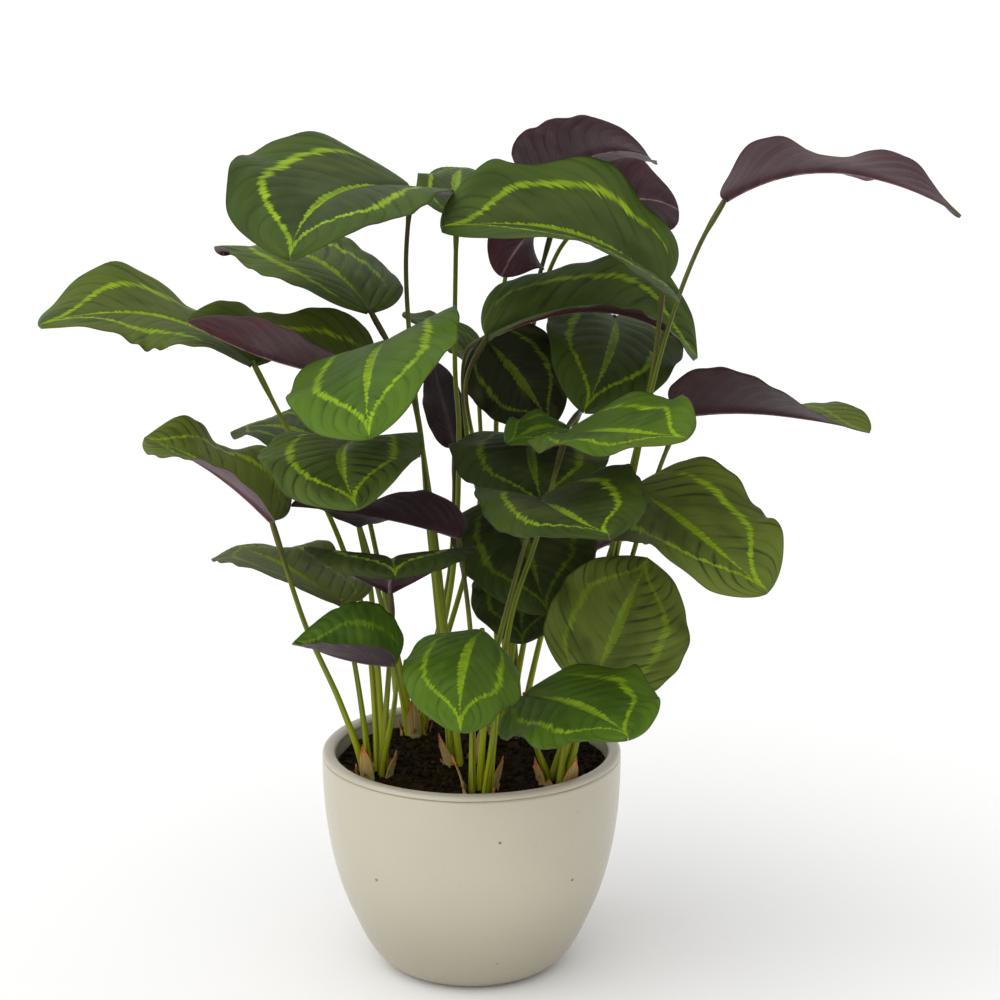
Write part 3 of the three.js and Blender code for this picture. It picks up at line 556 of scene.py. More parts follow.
# Painted shade for the lower faces of shaded blades
UNDER_SHADE = (0.015, 0.006, 0.008)
UNDER_RIM = (0.07, 0.06, 0.03)
BLOOM_TINT = (0.8, 0.72, 0.85, 1)

STALK_FOOT = (0.31, 0.345, 0.006)
STALK_GREEN = (0.15, 0.19, 0.006)
STALK_BROWNS = (0.032, 0.024, 0.010), (0.075, 0.042, 0.022)
# Painted shade and painted highlights, in streaks along the stalk
STALK_SHADE_STREAK = (0.024, 0.030, 0.005)
STALK_HIGHLIGHT = (0.36, 0.42, 0.04)

SHEATH_FOOT = (0.31, 0.30, 0.10)
SHEATH_TAN = (0.44, 0.31, 0.10)
SHEATH_ORANGE = (0.60, 0.16, 0.02)
SHEATH_FIBRES = (0.13, 0.06, 0.02), (0.62, 0.52, 0.25)

SOIL_BROWNS = (0.010, 0.0055, 0.0008), (0.026, 0.0145, 0.0022)
SOIL_FLECK = (0.055, 0.028, 0.010)
CRUMB_BROWNS = (0.010, 0.006, 0.001), (0.054, 0.030, 0.006)
CRUMB_SHADE = (0.010, 0.006, 0.002)

CREAMS = (0.455, 0.422, 0.322), (0.525, 0.483, 0.372)
GLAZE_SPECK = (0.36, 0.31, 0.21)
GLAZE_FLECK = (0.22, 0.17, 0.10)
GLAZE_LINE = (0.20, 0.17, 0.09)
GLAZE_PIT = (0.10, 0.08, 0.045)
# Painted shade on the lower part of the pot
GLAZE_LOW_SHADE = (0.30, 0.265, 0.19)
GLAZE_FOOT = (0.24, 0.2, 0.14)


def lime_ring(n, jag, worn):
    """How much of the feathered ring between midrib and margin shows, and its place."""
    jag_out = n.less(n.streaks(52, 0.7, shift=9.0), 0.5)
    drift = n.less(n.noise(n.vector(n.times(n.u, 2.2), 0.0, n.add(n.seed, 4.0)), 1.0, 1.0), 0.5)
    at = n.times(n.add(n.times(drift, 0.12), RING_AT), n.ramp(n.u, 0.6, 1.0, 1.0, 0.02))
    width = n.times(n.ramp(n.u, 0.05, 0.45, 0.026, 0.05), n.ramp(n.u, 0.82, 1.0, 1.0, 1.5))
    inside = n.add(n.less(n.a, at), n.add(width, n.times(jag, 0.21)))
    outside = n.add(n.less(at, n.a), n.add(width, n.times(jag_out, 0.18)))
    ring = n.times(n.ramp(inside, -0.02, 0.035), n.ramp(outside, -0.02, 0.035))
    fade = n.ramp(n.add(worn, n.ramp(n.u, 0.0, 0.5, 0.0, 0.5)), 0.42, 0.66)
    return n.times(ring, fade), at


def lime_midrib(n, jag):
    """How much of the feathered midrib shows: widest below the middle of the blade."""
    width = n.times(n.ramp(n.u, 0.05, 0.42, 0.7, 3.1), n.ramp(n.u, 0.5, 0.92, 1.0, 0.05))
    edge = n.add(n.less(width, n.away), n.times(jag, 4.2))
    return n.times(n.ramp(edge, -0.3, 0.4), n.ramp(n.u, 0.06, 0.3, 0.2, 1.0))


def painted_crease_shade(n):
    """The painted shade in the creases along the side veins, ragged and in patches."""
    patch = n.field(n.vein, 5.0, n.a, 1.4, n.add(n.seed, 31.0), 2.0)
    ragged = n.times(n.less(n.streaks(24, 3.0, shift=13.0), 0.5), 1.1)
    crease = n.ramp(n.add(n.veins(PLEATS), ragged), -0.05, 0.62, 1.0, 0.0)
    deep = n.ramp(n.tint, 0.6, 1.0, 0.5, 0.8)
    return n.times(n.times(crease, n.ramp(patch, 0.38, 0.64, 0.06, deep)), n.ramp(n.a, 0.02, 0.2))


def leaf_upper(name, inner, outer, olive_and_lit_lean, rough):
    """The upper face: green, darker between the midrib and a feathered lime ring, with painted sheen in
    patches and painted shade in the vein creases.
    """
    n = BladeShader(name, 3.7, 0.0, Specular_IOR_Level=0.14)
    jag = n.less(n.streaks(60, 0.7), 0.5)
    worn = n.streaks(9, 1.5, shift=21.0)
    ring, ring_at = lime_ring(n, jag, worn)
    # How much lime shows, by the mark: partly the blade's own fainter lime, partly painted shade that dims
    # it on shaded blades
    shown = n.times(n.mark, n.ramp(worn, 0.3, 0.6, 0.7, 1.0))
    cloud = n.clouds(3.0, 2.0, 2.0)
    fine = n.streaks(90, 2.5, 3.0)
    painted_sheen = n.streaks(2.6, 1.3, shift=17.0)
    zone = n.ramp(n.less(n.a, ring_at), -0.03, 0.05)
    # Painted sheen colours: lighter, greyer copies of the inner and outer greens
    grey = n.mix(zone, tinted(inner, 1.8, (0.014, 0.006, 0.010)), tinted(outer, 1.3))
    green = n.cover(
        n.mix(zone, inner, outer),
        # Painted sheen: lighter, greyer patches where the clouds are high
        (n.ramp(cloud, 0.38, 0.66, 0.0, 0.6), grey),
        # Painted light: lit blades lean to a lighter olive by their tint, partly their own hue
        (n.times(n.tint, n.ramp(cloud, 0.3, 0.62, 1.0, 0.8)), tinted(outer, olive_and_lit_lean)),
        # Painted shade: blades in deep shade lean to near black
        (n.ramp(n.tint, 0.0, -1.0), tinted(outer, PAINTED_SHADE_LEAN)),
        # Painted shade in the creases along the side veins
        (painted_crease_shade(n), tinted(inner, 0.4)),
        (n.ramp(fine, 0.35, 0.75, 0.0, 0.3), tinted(inner, 1.6, 0.004)),
        # Painted sheen: broad darker and lighter patches drawn out along the veins
        (n.ramp(painted_sheen, 0.5, 0.3, 0.0, 0.45), tinted(inner, 0.55)),
        (n.ramp(painted_sheen, 0.52, 0.75, 0.0, 0.4), tinted(outer, (2.1, 1.5, 1.8), (0.01, 0.008, 0))),
    )
    lime = n.mix(n.ramp(jag, -0.2, 0.25), tinted(LIME, 0.7), tinted(LIME, 1.15))
    mark = n.times(n.math("MAXIMUM", ring, lime_midrib(n, jag)), shown)
    colour = n.cover(green, (mark, lime), (n.ramp(n.a, 0.972, 1.0, 0.0, 0.6), UPPER_RIM))
    height = n.add(n.times(n.veins(PLEATS * FINE_VEINS), 0.35), fine)
    return n.finish(colour, n.add(n.times(fine, 0.12), rough), height, 0.00035, 0.55)


def leaf_under(name):
    """The underside: aubergine with painted grey sheen in streaks, reddish patches, a pale midrib and
    painted shade on shaded blades.
    """
    n = BladeShader(name, 3.1, 40.0, Specular_IOR_Level=0.2, Sheen_Weight=0.03, Sheen_Roughness=0.4)
    n.surface.inputs["Sheen Tint"].default_value = BLOOM_TINT
    fine = n.streaks(60, 2.0, 3.0)
    wide = n.streaks(10, 1.6, 3.0, shift=7.0)
    red = n.times(n.ramp(n.clouds(3.2, 2.2, 0.0), 0.5, 0.7), n.add(n.times(n.tint, 0.4), 0.3))
    vein = n.times(n.ramp(n.veins(PLEATS), 0.0, 0.3, 0.5, 0.0), n.ramp(n.a, 0.02, 0.2))
    midrib = n.times(n.ramp(n.away, 0.8, 0.35), n.ramp(wide, 0.4, 0.55, 0.25, 0.9))
    colour = n.cover(
        # Painted sheen: lighter grey-violet streaks over the aubergine
        n.mix(n.ramp(wide, 0.3, 0.7), AUBERGINE, PAINTED_GREY_SHEEN),
        (n.times(n.tint, 0.8), WARM_PURPLE),
        (red, RED_PATCH),
        (n.ramp(fine, 0.45, 0.8, 0.0, 0.3), PALE_STREAK),
        (vein, UNDER_VEIN),
        (midrib, UNDER_MIDRIB),
        # Painted shade: blades with a low mark get a darker lower face
        (n.ramp(n.mark, 0.95, 0.2, 0.0, 0.9), UNDER_SHADE),
        (n.ramp(n.a, 0.97, 1.0, 0.0, 0.5), UNDER_RIM),
    )
    height = n.add(n.times(n.veins(PLEATS * FINE_VEINS), 0.5), fine)
    return n.finish(colour, n.add(n.times(fine, 0.15), 0.4), height, 0.0004, 0.6)


class StripShader(Shader):
    """A shader that knows its share round (turn) and along a stalk or a bract."""

    def __init__(self, name, **settings):
        super().__init__(name, **settings)
        self.turn, self.along = self.map("blade")
        self.tone, seed = self.map("span")
        self.seed = self.times(seed, MAP_SCALE)

    def strip_noise(self, round_scale, along_scale, detail):
        return self.field(self.turn, round_scale, self.along, along_scale, self.seed, detail)


def stalk_material():
    """Olive stalks: lime at the foot, browner towards the blade, with long ribs, painted dark streaks for
    shade and painted light streaks for highlights.
    """
    n = StripShader("stalk", Specular_IOR_Level=0.2)
    ribs = n.strip_noise(9.0, 2.0, 2.0)
    mottle = n.strip_noise(3.0, 14.0, 3.0)
    browner = n.add(n.ramp(n.along, 0.46, 0.98, 0.0, 0.65), n.times(n.less(n.tone, 0.7), 0.7))
    browner = n.ramp(n.add(browner, n.times(n.less(mottle, 0.5), 0.8)), 0.1, 0.9)
    highlight = n.times(n.ramp(ribs, 0.42, 0.25, 0.0, 0.4), n.ramp(n.along, 0.3, 0.8, 1.0, 0.25))
    colour = n.cover(
        n.mix(n.ramp(n.along, 0.0, 0.6), STALK_FOOT, STALK_GREEN),
        (browner, n.mix(mottle, *STALK_BROWNS)),
        # Painted shade: dark streaks along the ribs; painted highlights: light streaks, strongest low down
        (n.ramp(ribs, 0.5, 0.66, 0.0, 0.6), STALK_SHADE_STREAK),
        (highlight, STALK_HIGHLIGHT),
    )
    return n.finish(colour, n.ramp(mottle, 0.3, 0.7, 0.38, 0.52), ribs, 0.0004, 0.5)


def sheath_material():
    """Dry papery bracts: pale green-tan at the foot, orange and brown at the point."""
    n = StripShader("papery_sheath", Specular_IOR_Level=0.25, Sheen_Weight=0.1)
    fibres = n.strip_noise(26.0, 1.5, 3.0)
    patch = n.strip_noise(2.5, 3.0, 3.0)
    level = n.add(n.along, n.times(n.less(patch, 0.5), 0.7))
    colour = n.cover(
        n.mix(n.ramp(level, 0.05, 0.45), SHEATH_FOOT, SHEATH_TAN),
        (n.times(n.ramp(level, 0.55, 0.95), n.tone), SHEATH_ORANGE),
        (n.ramp(fibres, 0.5, 0.75, 0.0, 0.6), SHEATH_FIBRES[0]),
        (n.ramp(fibres, 0.45, 0.25, 0.0, 0.4), SHEATH_FIBRES[1]),
    )
    return n.finish(colour, n.ramp(fibres, 0.2, 0.8, 0.55, 0.85), fibres, 0.0006, 0.7)


def soil_material():
    n = Shader("potting_soil", Specular_IOR_Level=0.08)
    place = n.object_place()
    fine = n.noise(place, 900.0, 4.0, 0.7)
    patch = n.noise(place, 90.0, 3.0)
    brown = n.mix(n.ramp(patch, 0.35, 0.7), *SOIL_BROWNS)
    colour = n.mix(n.ramp(fine, 0.6, 0.75, 0.0, 0.5), brown, SOIL_FLECK)
    return n.finish(colour, n.ramp(fine, 0.3, 0.7, 0.7, 0.95), fine, 0.0008, 0.8)


def crumb_material():
    n = Shader("soil_crumb", Specular_IOR_Level=0.08)
    tone = n.map("blade")[1]
    fine = n.noise(n.object_place(), 700.0, 3.0, 0.6)
    colour = n.mix(n.times(fine, 0.5), n.mix(tone, *CRUMB_BROWNS), CRUMB_SHADE)
    return n.finish(colour, 0.85, fine, 0.0006, 0.8)


def glaze_material():
    """Cream satin glaze with a faint speckle, dark pits and a dark line under the lip; painted shade darkens
    its lower part, and it is darker still at the foot.
    """
    n = Shader("pot_glaze", Specular_IOR_Level=0.5, Coat_Weight=0.25, Coat_Roughness=0.22)
    place = n.object_place()
    x, y, z = n.split(place)
    cloud = n.noise(place, 14.0, 3.0)
    speck = n.noise(place, 420.0, 2.0, 0.6)
    fleck = n.noise(place, 95.0, 1.0, 0.4)
    wobble = n.times(n.less(n.noise(place, 30.0, 2.0), 0.5), 0.0012)
    line = n.absolute(n.less(n.add(z, wobble), GLAZE_LINE_Z * MM))
    colour = n.cover(
        n.mix(cloud, *CREAMS),
        (n.ramp(speck, 0.64, 0.74, 0.0, 0.3), GLAZE_SPECK),
        (n.ramp(fleck, 0.80, 0.83, 0.0, 0.6), GLAZE_FLECK),
        (n.ramp(line, 0.0009, 0.0002, 0.0, 0.75), GLAZE_LINE),
    )
    front = n.ramp(y, 0.01, -0.01)
    for pit_x, pit_z in POT_PITS:
        ends = {0: n.vector(x, 0.0, z), 1: (pit_x * MM, 0, pit_z * MM)}
        away = n.node("VectorMath", ends, 1, operation="DISTANCE")
        colour = n.mix(n.times(n.ramp(away, 0.0013, 0.0006, 0.0, 0.85), front), colour, GLAZE_PIT)
    # Painted shade: darker towards the bottom of the pot
    low = (n.ramp(z, 0.1, 0.0, 0.0, 0.8), GLAZE_LOW_SHADE)
    foot = (n.ramp(z, 0.006, 0.0005, 0.0, 0.5), GLAZE_FOOT)
    height = n.add(cloud, n.times(speck, 0.12))
    return n.finish(n.cover(colour, low, foot), n.ramp(speck, 0.3, 0.7, 0.30, 0.42), height, 0.0012, 0.25)


def materials():
    made = {tone: leaf_upper("leaf_" + tone, *greens) for tone, greens in UPPER.items()}
    made["under"] = leaf_under("leaf_underside")
    made["stalk"] = stalk_material()
    made["sheath"] = sheath_material()
    made["soil"] = soil_material()
    made["crumb"] = crumb_material()
    made["glaze"] = glaze_material()
    return made


# ---- pot

def lathe(profile, sides):
    profile = np.array(profile, float)
    bearing = np.linspace(0, 2 * np.pi, sides, endpoint=False)
    ring = np.stack([np.cos(bearing), np.sin(bearing)], -1)
    flat = profile[:, None, :1] * ring[None]
    height = np.broadcast_to(profile[:, None, 1:], (len(profile), sides, 1))
    points = np.concatenate([flat, height], -1)
    return points.reshape(-1, 3), grid_faces(len(profile), sides, closed=True)


def rounded(points, per_span):
    """A smooth curve through profile points."""
    shares = np.linspace(0, 1, per_span * (len(points) - 1) + 1)
    return spline([(r, z, 0) for r, z in points], shares)[:, :2]


def build_pot(mats):
    out = rounded(POT_OUTSIDE, 6)
    lip = rounded([POT_OUTSIDE[-1], *POT_LIP, POT_INSIDE[0]], 4)[1:]
    inside = rounded(POT_INSIDE, 4)[1:-1]
    profile = [(POT_AXIS, 0), (POT_FOOT_CENTRE, 0), *out, *lip, *inside, (POT_AXIS, POT_INSIDE[-1][1])]
    points, faces = lathe(profile, POT_SIDES)
    body = Builder()
    body.add(points, faces, np.zeros((len(points), 2)))
    body.piece("glazed_pot", [mats["glaze"]], "pot", "pot_glaze")


# ---- soil

def inside_radius(z):
    radii, heights = zip(*reversed(POT_INSIDE))
    return float(np.interp(z, heights, radii))


def soil_height(x, y):
    edge = inside_radius(SOIL_EDGE) - SOIL_GAP
    share = np.clip(np.hypot(x, y) / edge, 0, 1)
    lumps = 1.5 * waves(x / 26, y / 26, 5) + 0.7 * waves(x / 7, y / 7, 6)
    return SOIL_EDGE + SOIL_MOUND * (1 - share ** 2) + lumps * (1 - 0.4 * share ** 6)


def soil_body(body):
    edge = inside_radius(SOIL_EDGE) - SOIL_GAP
    bearing = np.linspace(0, 2 * np.pi, SOIL_SIDES, endpoint=False)
    rows = []
    for share in np.linspace(0.002, 1, SOIL_RINGS):
        x, y = share * edge * np.cos(bearing), share * edge * np.sin(bearing)
        rows.append(np.stack([x, y, soil_height(x, y)], -1))
    for r, z in POT_INSIDE[2:-1]:
        row = np.stack([(r - SOIL_GAP) * np.cos(bearing), (r - SOIL_GAP) * np.sin(bearing)], -1)
        rows.append(np.concatenate([row, np.full((SOIL_SIDES, 1), z + SOIL_GAP)], -1))
    rows.append(np.concatenate([row * 0.01, np.full((SOIL_SIDES, 1), z + SOIL_GAP)], -1))
    points = np.concatenate(rows)
    faces = grid_faces(len(rows), SOIL_SIDES, closed=True, flip=True)
    body.add(points, faces, np.zeros((len(points), 2)))


def lump():
    """A rough ball: the corners and faces of an octahedron split once."""
    corners = [(1, 0, 0), (-1, 0, 0), (0, 1, 0), (0, -1, 0), (0, 0, 1), (0, 0, -1)]
    faces = [(0, 2, 4), (2, 1, 4), (1, 3, 4), (3, 0, 4), (2, 0, 5), (1, 2, 5), (3, 1, 5), (0, 3, 5)]
    points = [np.array(c, float) for c in corners]
    split, middle = [], {}

    def between(a, b):
        key = (min(a, b), max(a, b))
        if key not in middle:
            middle[key] = len(points)
            points.append(unit(points[a] + points[b]))
        return middle[key]

    for a, b, c in faces:
        ab, bc, ca = between(a, b), between(b, c), between(c, a)
        split += [(a, ab, ca), (ab, b, bc), (ca, bc, c), (ab, bc, ca)]
    return np.array(points), np.array(split)


def random_spot(rng, margin):
    """A place on the soil, this far or further from the pot's wall."""
    r = (inside_radius(SOIL_EDGE) - margin) * math.sqrt(rng.uniform())
    a = rng.uniform(0, 2 * np.pi)
    return r * math.cos(a), r * math.sin(a)


def soil_crumbs(body):
    rng = np.random.default_rng(11)
    ball, faces = lump()
    for _ in range(CRUMBS):
        x, y = random_spot(rng, CRUMB_MARGIN)
        size = rng.uniform(*CRUMB_SIZE) * (LARGE_CRUMB if rng.uniform() < LARGE_CRUMB_SHARE else 1)
        stretch = rng.uniform(*CRUMB_STRETCH, 3) * size
        turn = np.linalg.qr(rng.normal(size=(3, 3)))[0]
        turn *= np.sign(np.linalg.det(turn))
        shape = (ball * stretch * (1 + rng.uniform(-CRUMB_DENT, CRUMB_DENT, (len(ball), 1)))) @ turn
        shape += (x, y, soil_height(x, y) + 0.3 * size)
        tone = 0.9 if rng.uniform() < PALE_CRUMB_SHARE else rng.uniform(0, 0.35)
        body.add(shape, faces, np.tile((0.0, tone), (len(ball), 1)), 1)


def soil_fibres(body):
    rng = np.random.default_rng(12)
    for _ in range(FIBRES):
        foot_x, foot_y = random_spot(rng, FIBRE_MARGIN)
        heading, bend = rng.uniform(0, 2 * np.pi), rng.uniform(-FIBRE_BEND, FIBRE_BEND)
        length = rng.uniform(*FIBRE_LENGTH)
        route = []
        for t in np.linspace(0, 1, FIBRE_STEPS):
            turn = heading + bend * t
            x = foot_x + length * (t - 0.5) * math.cos(turn)
            y = foot_y + length * (t - 0.5) * math.sin(turn)
            lift = 0.9 + 1.1 * math.sin(math.pi * t) * rng.uniform(0.3, 1)
            route.append((x, y, float(soil_height(x, y)) + lift))
        route = np.array(route)
        if np.hypot(route[:, 0], route[:, 1]).max() > inside_radius(SOIL_EDGE) - CRUMB_MARGIN:
            continue
        points, faces, caps = tube(route, np.full(len(route), rng.uniform(*FIBRE_RADIUS)), 4)
        uv = np.tile((0.0, rng.uniform(0.2, 1.0)), (len(points), 1))
        body.add(points, faces, uv, 1)
        body.add(points, caps, uv, 1)


def build_soil(mats):
    body = Builder()
    soil_body(body)
    soil_crumbs(body)
    soil_fibres(body)
    body.piece("potting_soil", [mats["soil"], mats["crumb"]], "soil", "potting_soil")


# ---- stalks

def tube(route, radii, sides, section=None):
    """A tube along a route, its quads and its caps; section(bearing) scales its radius."""
    along = unit(np.gradient(route, axis=0))
    across = np.array([1.0, 0, 0])
    bearing = np.linspace(0, 2 * np.pi, sides, endpoint=False)
    shape = section(bearing) if section else np.ones(sides)
    rows = []
    for centre, forward, radius in zip(route, along, radii):
        across = unit(across - forward * (across @ forward))
        up = np.cross(forward, across)
        ring = np.cos(bearing)[:, None] * across + np.sin(bearing)[:, None] * up
        rows.append(centre + ring * (radius * shape)[:, None])
    points = np.concatenate([*rows, [route[0]], [route[-1]]])
    j = np.arange(sides)
    k = (j + 1) % sides
    last = (len(route) - 1) * sides
    foot = np.stack([j * 0 + len(points) - 2, k, j], -1)
    top = np.stack([j * 0 + len(points) - 1, last + j, last + k], -1)
    return points, grid_faces(len(route), sides, closed=True), np.concatenate([foot, top])


def midrib(leaf, u):
    """The curve through base, mid and tip, and its heading."""
    base, mid, tip = (np.array(leaf[k], float) for k in ("base", "mid", "tip"))
    control = 2 * mid - 0.5 * base - 0.5 * tip
    u = np.asarray(u, float)[..., None]
    point = (1 - u) ** 2 * base + 2 * u * (1 - u) * control + u ** 2 * tip
    along = unit((1 - u) * (control - base) + u * (tip - control))
    return point, along


def stalk_route(leaf):
    """From the crown's root, through the given points, to 1 mm past the blade's base."""
    base, along = midrib(leaf, 0.0)
    foot = (*leaf["foot"], STALK_ROOT_Z)
    collar = (*leaf["foot"], CROWN_TOP)
    return spline([foot, collar, *leaf["via"], base + along], np.linspace(0, 1, STALK_STEPS))


def stalk_radius(route):
    """The radius at each point of the route, and each point's share of its length."""
    length = np.concatenate([[0], np.cumsum(np.linalg.norm(np.diff(route, axis=0), axis=1))])
    share = length / length[-1]
    slim = STALK_FOOT_RADIUS + (STALK_TIP_RADIUS - STALK_FOOT_RADIUS) * np.minimum(1, share * STALK_TAPER)
    flare = STALK_FLARE * np.exp(-np.maximum(0, length - STALK_FLARE_FROM) / STALK_FLARE_OVER)
    knee = np.exp(-((length[-1] - length - PULVINUS * 0.5) / (PULVINUS * 0.42)) ** 4)
    return slim + flare + STALK_KNEE * knee, share


def stalk_section(bearing):
    """Round, with a shallow channel and low ribs."""
    from_channel = np.angle(np.exp(1j * (bearing - CHANNEL_AT)))
    channel = CHANNEL_DEPTH * np.exp(-(from_channel / CHANNEL_WIDTH) ** 2)
    return 1 - channel + STALK_RIB_HEIGHT * np.cos(STALK_RIBS * bearing)


def add_stalk(body, leaf, index):
    route = stalk_route(leaf)
    radii, share = stalk_radius(route)
    points, faces, caps = tube(route, radii, STALK_SIDES, stalk_section)
    rng = np.random.default_rng(100 + index)
    turn = np.tile(np.arange(STALK_SIDES) / STALK_SIDES, len(route))
    uv = np.zeros((len(points), 4))
    uv[:-2, 0] = 0.5 - abs(turn - 0.5)
    uv[:-2, 1] = np.repeat(share, STALK_SIDES)
    uv[-1, 1] = 1
    uv[:, 2] = rng.uniform(0.1, 0.9)
    uv[:, 3] = rng.uniform(0, 1)
    body.add(points, faces, uv)
    body.add(points, caps, uv)


def build_stalks(mats):
    for name in CLUMPS:
        body = Builder()
        for index, leaf in enumerate(LEAVES.values()):
            if leaf["clump"] == name:
                add_stalk(body, leaf, index)
        body.piece(f"stems_{name}", [mats["stalk"]], f"stalks_{name}", "stalk")


# ---- sheaths

def bract(clump, at, height, spread, seed):
    """One pointed scale wrapped round the crown: its middle surface."""
    rng = np.random.default_rng(seed)
    t = np.linspace(0, 1, BRACT_ROWS)[:, None]
    s = np.linspace(-1, 1, BRACT_COLUMNS)[None]
    half = spread * (1 - t ** 1.7) ** 0.8 + BRACT_MIN_HALF
    curl = rng.uniform(-6, 6)
    bearing = np.radians(at + s * half + curl * t)
    above = (height + BRACT_ROOT) * t * (1 - 0.16 * s ** 2 * t) - BRACT_ROOT
    pucker = 0.35 * np.sin(9 * s + seed) * t + 0.5 * np.sin(5 * t + 2 * seed) * t
    radius = clump["radius"] + COLLAR_GAP + COLLAR_FLARE * np.maximum(above, 0) + pucker + t ** 3
    x = clump["at"][0] + radius * np.cos(bearing)
    y = clump["at"][1] + radius * np.sin(bearing)
    z = CROWN_TOP + above
    middle = np.stack(np.broadcast_arrays(x, y, z), -1)
    out = np.stack(np.broadcast_arrays(np.cos(bearing), np.sin(bearing), 0 * z), -1)
    uv = np.stack(np.broadcast_arrays(0.5 + 0.5 * s, t, rng.uniform(0.5, 1), seed * 0.013), -1)
    return middle, out, uv


def rim_faces(edge, step):
    """Quads from a closed row of vertices to the same row, step further on."""
    after = np.roll(edge, -1)
    return np.stack([after, edge, edge + step, after + step], -1)


def add_shell(body, middle, out, uv):
    """Two faces of a thin sheet and the rim between them."""
    rows, columns = middle.shape[:2]
    count = rows * columns
    front = (middle + out * BRACT_THICKNESS / 2).reshape(-1, 3)
    back = (middle - out * BRACT_THICKNESS / 2).reshape(-1, 3)
    sides = [grid_faces(rows, columns), grid_faces(rows, columns, flip=True) + count]
    faces = np.concatenate([*sides, rim_faces(grid_edge(rows, columns), count)])
    flat = uv.reshape(count, -1)
    body.add(np.concatenate([front, back]), faces, np.concatenate([flat, flat]))


def build_sheaths(mats):
    for number, (name, clump) in enumerate(CLUMPS.items()):
        body = Builder()
        rng = np.random.default_rng(40 + number)
        scales = list(clump["bracts"])
        for k in range(SMALL_SCALES):
            at = k * SMALL_SCALE_STEP + rng.uniform(-12, 12)
            scales.append((at, rng.uniform(2, 6), rng.uniform(20, 30)))
        for k, (at, height, spread) in enumerate(scales):
            middle, out, uv = bract(clump, at, height, spread / 2, 10 * number + k)
            add_shell(body, middle + BRACT_LAYER * (k % 3) * out, out, uv)
        body.piece(f"bracts_{name}", [mats["sheath"]], f"sheath_{name}", "papery_sheath")


# ---- blades

def outline_at(u):
    """The blade's half width as a share of its widest, round at both ends."""
    below = np.clip(BLADE_WIDEST - u, 0, 1) / BLADE_WIDEST
    above = np.clip(u - BLADE_WIDEST, 0, 1) / (1 - BLADE_WIDEST)
    low = np.sqrt(np.clip(1 - below ** BLADE_BASE_POWER, 0, 1))
    high = np.clip(1 - above ** 2, 0, 1) ** BLADE_TIP_POWER
    return np.where(u < BLADE_WIDEST, low, high)


def blade_grid():
    """Shares along the blade, finer at its ends, and across it, finer at the midrib."""
    t = np.linspace(0, 1, BLADE_ROWS)
    u = 0.45 * t + 0.55 * (0.5 - 0.5 * np.cos(np.pi * t))
    half = np.concatenate([BLADE_NEAR_MIDRIB, np.linspace(0.1, 1, BLADE_COLUMNS)])
    s = np.concatenate([-half[::-1], [0], half])
    return np.meshgrid(u, s, indexing="ij")


def margin_lift(leaf, index, u, s):
    """How far the blade lifts towards its margins: its arch, its waves and a fringe."""
    a, side = abs(s), np.where(s < 0, 0, 1)
    count = WAVE_COUNT + WAVE_COUNT_STEP * ((index * 2 + side) % 3)
    phase = WAVE_PHASE_STEP * index + WAVE_SIDE_STEP * side
    if "ripple" in leaf:
        left_count, left_phase, right_count, right_phase = leaf["ripple"]
        count = np.where(s < 0, left_count, right_count)
        phase = np.where(s < 0, left_phase, right_phase)
    ripple = np.sin(2 * np.pi * count * u + phase) * np.sin(np.pi * u) ** WAVE_FADE
    fringe = np.sin(2 * np.pi * FRINGE_COUNT * u + 1.3 * phase) * np.sin(np.pi * u)
    return leaf["lift"] * a ** LIFT_POWER + leaf["wave"] * (a ** WAVE_POWER * ripple + 0.1 * a ** 5 * fringe)


def pleats(leaf, index, u, a):
    """Low folds along the side veins, which fade at midrib, margin, base and tip."""
    vein = u - VEIN_LEAN * a - VEIN_CURL * a ** 3
    inner = smooth(0.03, 0.3, a) * (1 - 0.55 * smooth(0.75, 1, a))
    depth = PLEAT_DEPTH * (1 + 0.5 * np.sin(5 * vein + index)) * min(1, leaf["width"] / 80)
    wave = abs(np.sin(np.pi * PLEATS * vein)) ** 0.75 - 0.6
    return depth * (inner * smooth(0, 0.12, u) * smooth(1, 0.85, u)) * wave


def blade_surface(leaf, index):
    """The blade's middle surface, its unit normal, both shares and the half width."""
    u, s = blade_grid()
    a, side = abs(s), np.where(s < 0, 0, 1)
    point, along = midrib(leaf, u)
    face = unit(np.array(leaf["face"], float)) * (1 - u[..., None])
    face = face + unit(np.array(leaf["face_tip"], float)) * u[..., None]
    face = unit(face - along * (face * along).sum(-1, keepdims=True))
    right = np.cross(along, face)
    notch = 0.012 * np.sin(31 * u + index + 2 * side) + 0.018 * np.sin(13 * u + 1.7 * index + 3 * side)
    half = leaf["width"] / 2 * outline_at(u) * (1 + notch) + BLADE_MIN_HALF * (1 - 0.8 * u)
    reach = a * half
    fold = np.radians(np.where(s < 0, *leaf["fold"]) * (1 - FOLD_EASE * u))
    channel = MIDRIB_CHANNEL * np.exp(-(reach / MIDRIB_CHANNEL_WIDTH) ** 2) * smooth(1, 0.6, u)
    lift = margin_lift(leaf, index, u, s) + pleats(leaf, index, u, a) - channel
    lobe = leaf.get("lobe", BLADE_LOBE) * reach * (1 - u) ** LOBE_FADE
    point = point - along * lobe[..., None]
    point = point + right * (np.sign(s) * reach * np.cos(fold))[..., None]
    point = point + face * (reach * np.sin(fold) + lift)[..., None]
    normal = unit(np.cross(np.gradient(point, axis=1), np.gradient(point, axis=0)))
    return point, normal, u, s, half


def blade_map(leaf, index, u, s, away):
    """Place across and along, mm from the midrib, then the leaf's seed, tint and mark, which also carry
    painted light and shade.
    """
    place = np.stack([0.5 + 0.5 * s, u, away / MAP_SCALE], -1)
    own = np.broadcast_to([index * SEED_STEP, leaf["tint"], leaf["mark"]], (*u.shape, 3))
    return np.concatenate([place, own], -1).reshape(-1, 6)


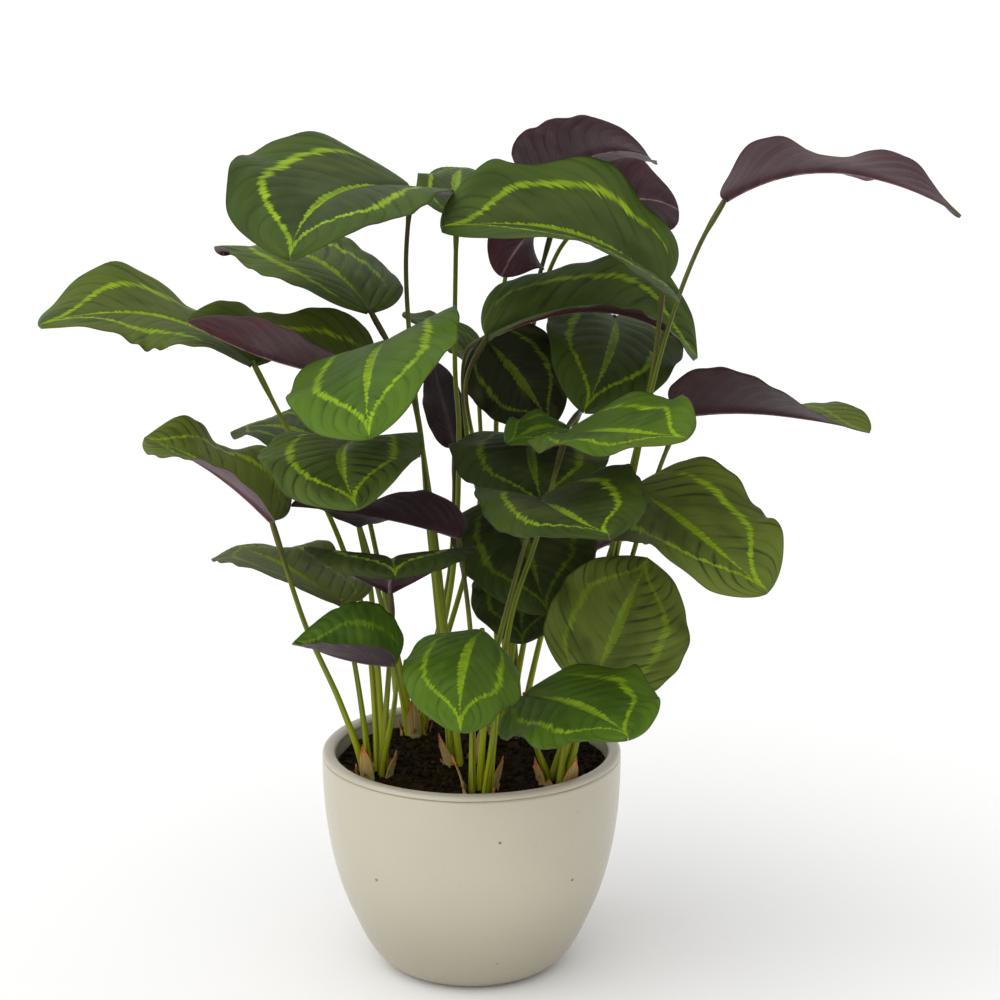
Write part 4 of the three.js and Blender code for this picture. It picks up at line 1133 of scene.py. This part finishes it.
def build_blades(mats):
    for index, (key, leaf) in enumerate(LEAVES.items()):
        point, normal, u, s, half = blade_surface(leaf, index)
        away = abs(s) * half
        uv = blade_map(leaf, index, u, s, away)
        ridge = MIDRIB_RIDGE * np.exp(-away ** 2) * (1 - 0.85 * u)
        thin = BLADE_THICKNESS / 2 * (1 - 0.5 * smooth(0.9, 1, abs(s)))
        upper = (point + normal * thin[..., None]).reshape(-1, 3)
        lower = (point - normal * (thin + ridge)[..., None]).reshape(-1, 3)
        edge = grid_edge(*u.shape)
        rim = np.concatenate([upper[edge], lower[edge]])
        rim_quads = rim_faces(np.arange(len(edge)), len(edge))
        body = Builder()
        body.add(upper, grid_faces(*u.shape), uv)
        body.add(lower, grid_faces(*u.shape, flip=True), uv, 1)
        body.add(rim, rim_quads, np.concatenate([uv[edge], uv[edge]]), 1)
        top = mats["green" if leaf["tone"] == "purple" else leaf["tone"]]
        made = body.piece(f"blade_{key}", [top, mats["under"]], f"leaf_{key}", SLOTS[leaf["tone"]])
        close_seams(made)


def close_seams(piece):
    """Joins the rim's vertices to those of the faces it runs between."""
    mesh = bmesh.new()
    mesh.from_mesh(piece.data)
    bmesh.ops.remove_doubles(mesh, verts=mesh.verts, dist=1e-7)
    mesh.to_mesh(piece.data)
    mesh.free()


# ---- stage

def build_camera():
    data = bpy.data.cameras.new("camera")
    data.lens = CAMERA_LENS
    data.sensor_width = SENSOR_WIDTH
    camera = put_in_scene("camera", data)
    camera.location = CAMERA_AT
    camera.rotation_euler = (math.radians(CAMERA_PITCH), 0, 0)
    bpy.context.scene.camera = camera


def build_lights():
    data = bpy.data.lights.new("key", "SUN")
    data.energy = SUN_STRENGTH
    data.angle = math.radians(SUN_SPREAD)
    sun = put_in_scene("key", data)
    sun.location = SUN_AT
    sun.rotation_euler = (Vector(SUN_AIM) - Vector(SUN_AT)).to_track_quat("-Z", "Y").to_euler()
    world = bpy.data.worlds.new("studio")
    world.use_nodes = True
    sky = world.node_tree.nodes["Background"]
    sky.inputs[0].default_value = (1, 1, 1, 1)
    sky.inputs[1].default_value = SKY_STRENGTH
    bpy.context.scene.world = world
    bpy.context.scene.view_settings.view_transform = "Standard"


def build_floor():
    mesh = bpy.data.meshes.new("floor")
    signs = [(-1, -1), (1, -1), (1, 1), (-1, 1)]
    mesh.from_pydata([(FLOOR_HALF * x, FLOOR_HALF * y, 0) for x, y in signs], [], [(0, 1, 2, 3)])
    n = Shader("floor", Specular_IOR_Level=0.2, Base_Color=(0.98, 0.98, 0.975, 1), Roughness=0.7)
    mesh.materials.append(n.material)
    put_in_scene("floor", mesh)


build_camera()
build_lights()
build_floor()
MATERIALS = materials()
build_pot(MATERIALS)
build_soil(MATERIALS)
build_stalks(MATERIALS)
build_sheaths(MATERIALS)
build_blades(MATERIALS)
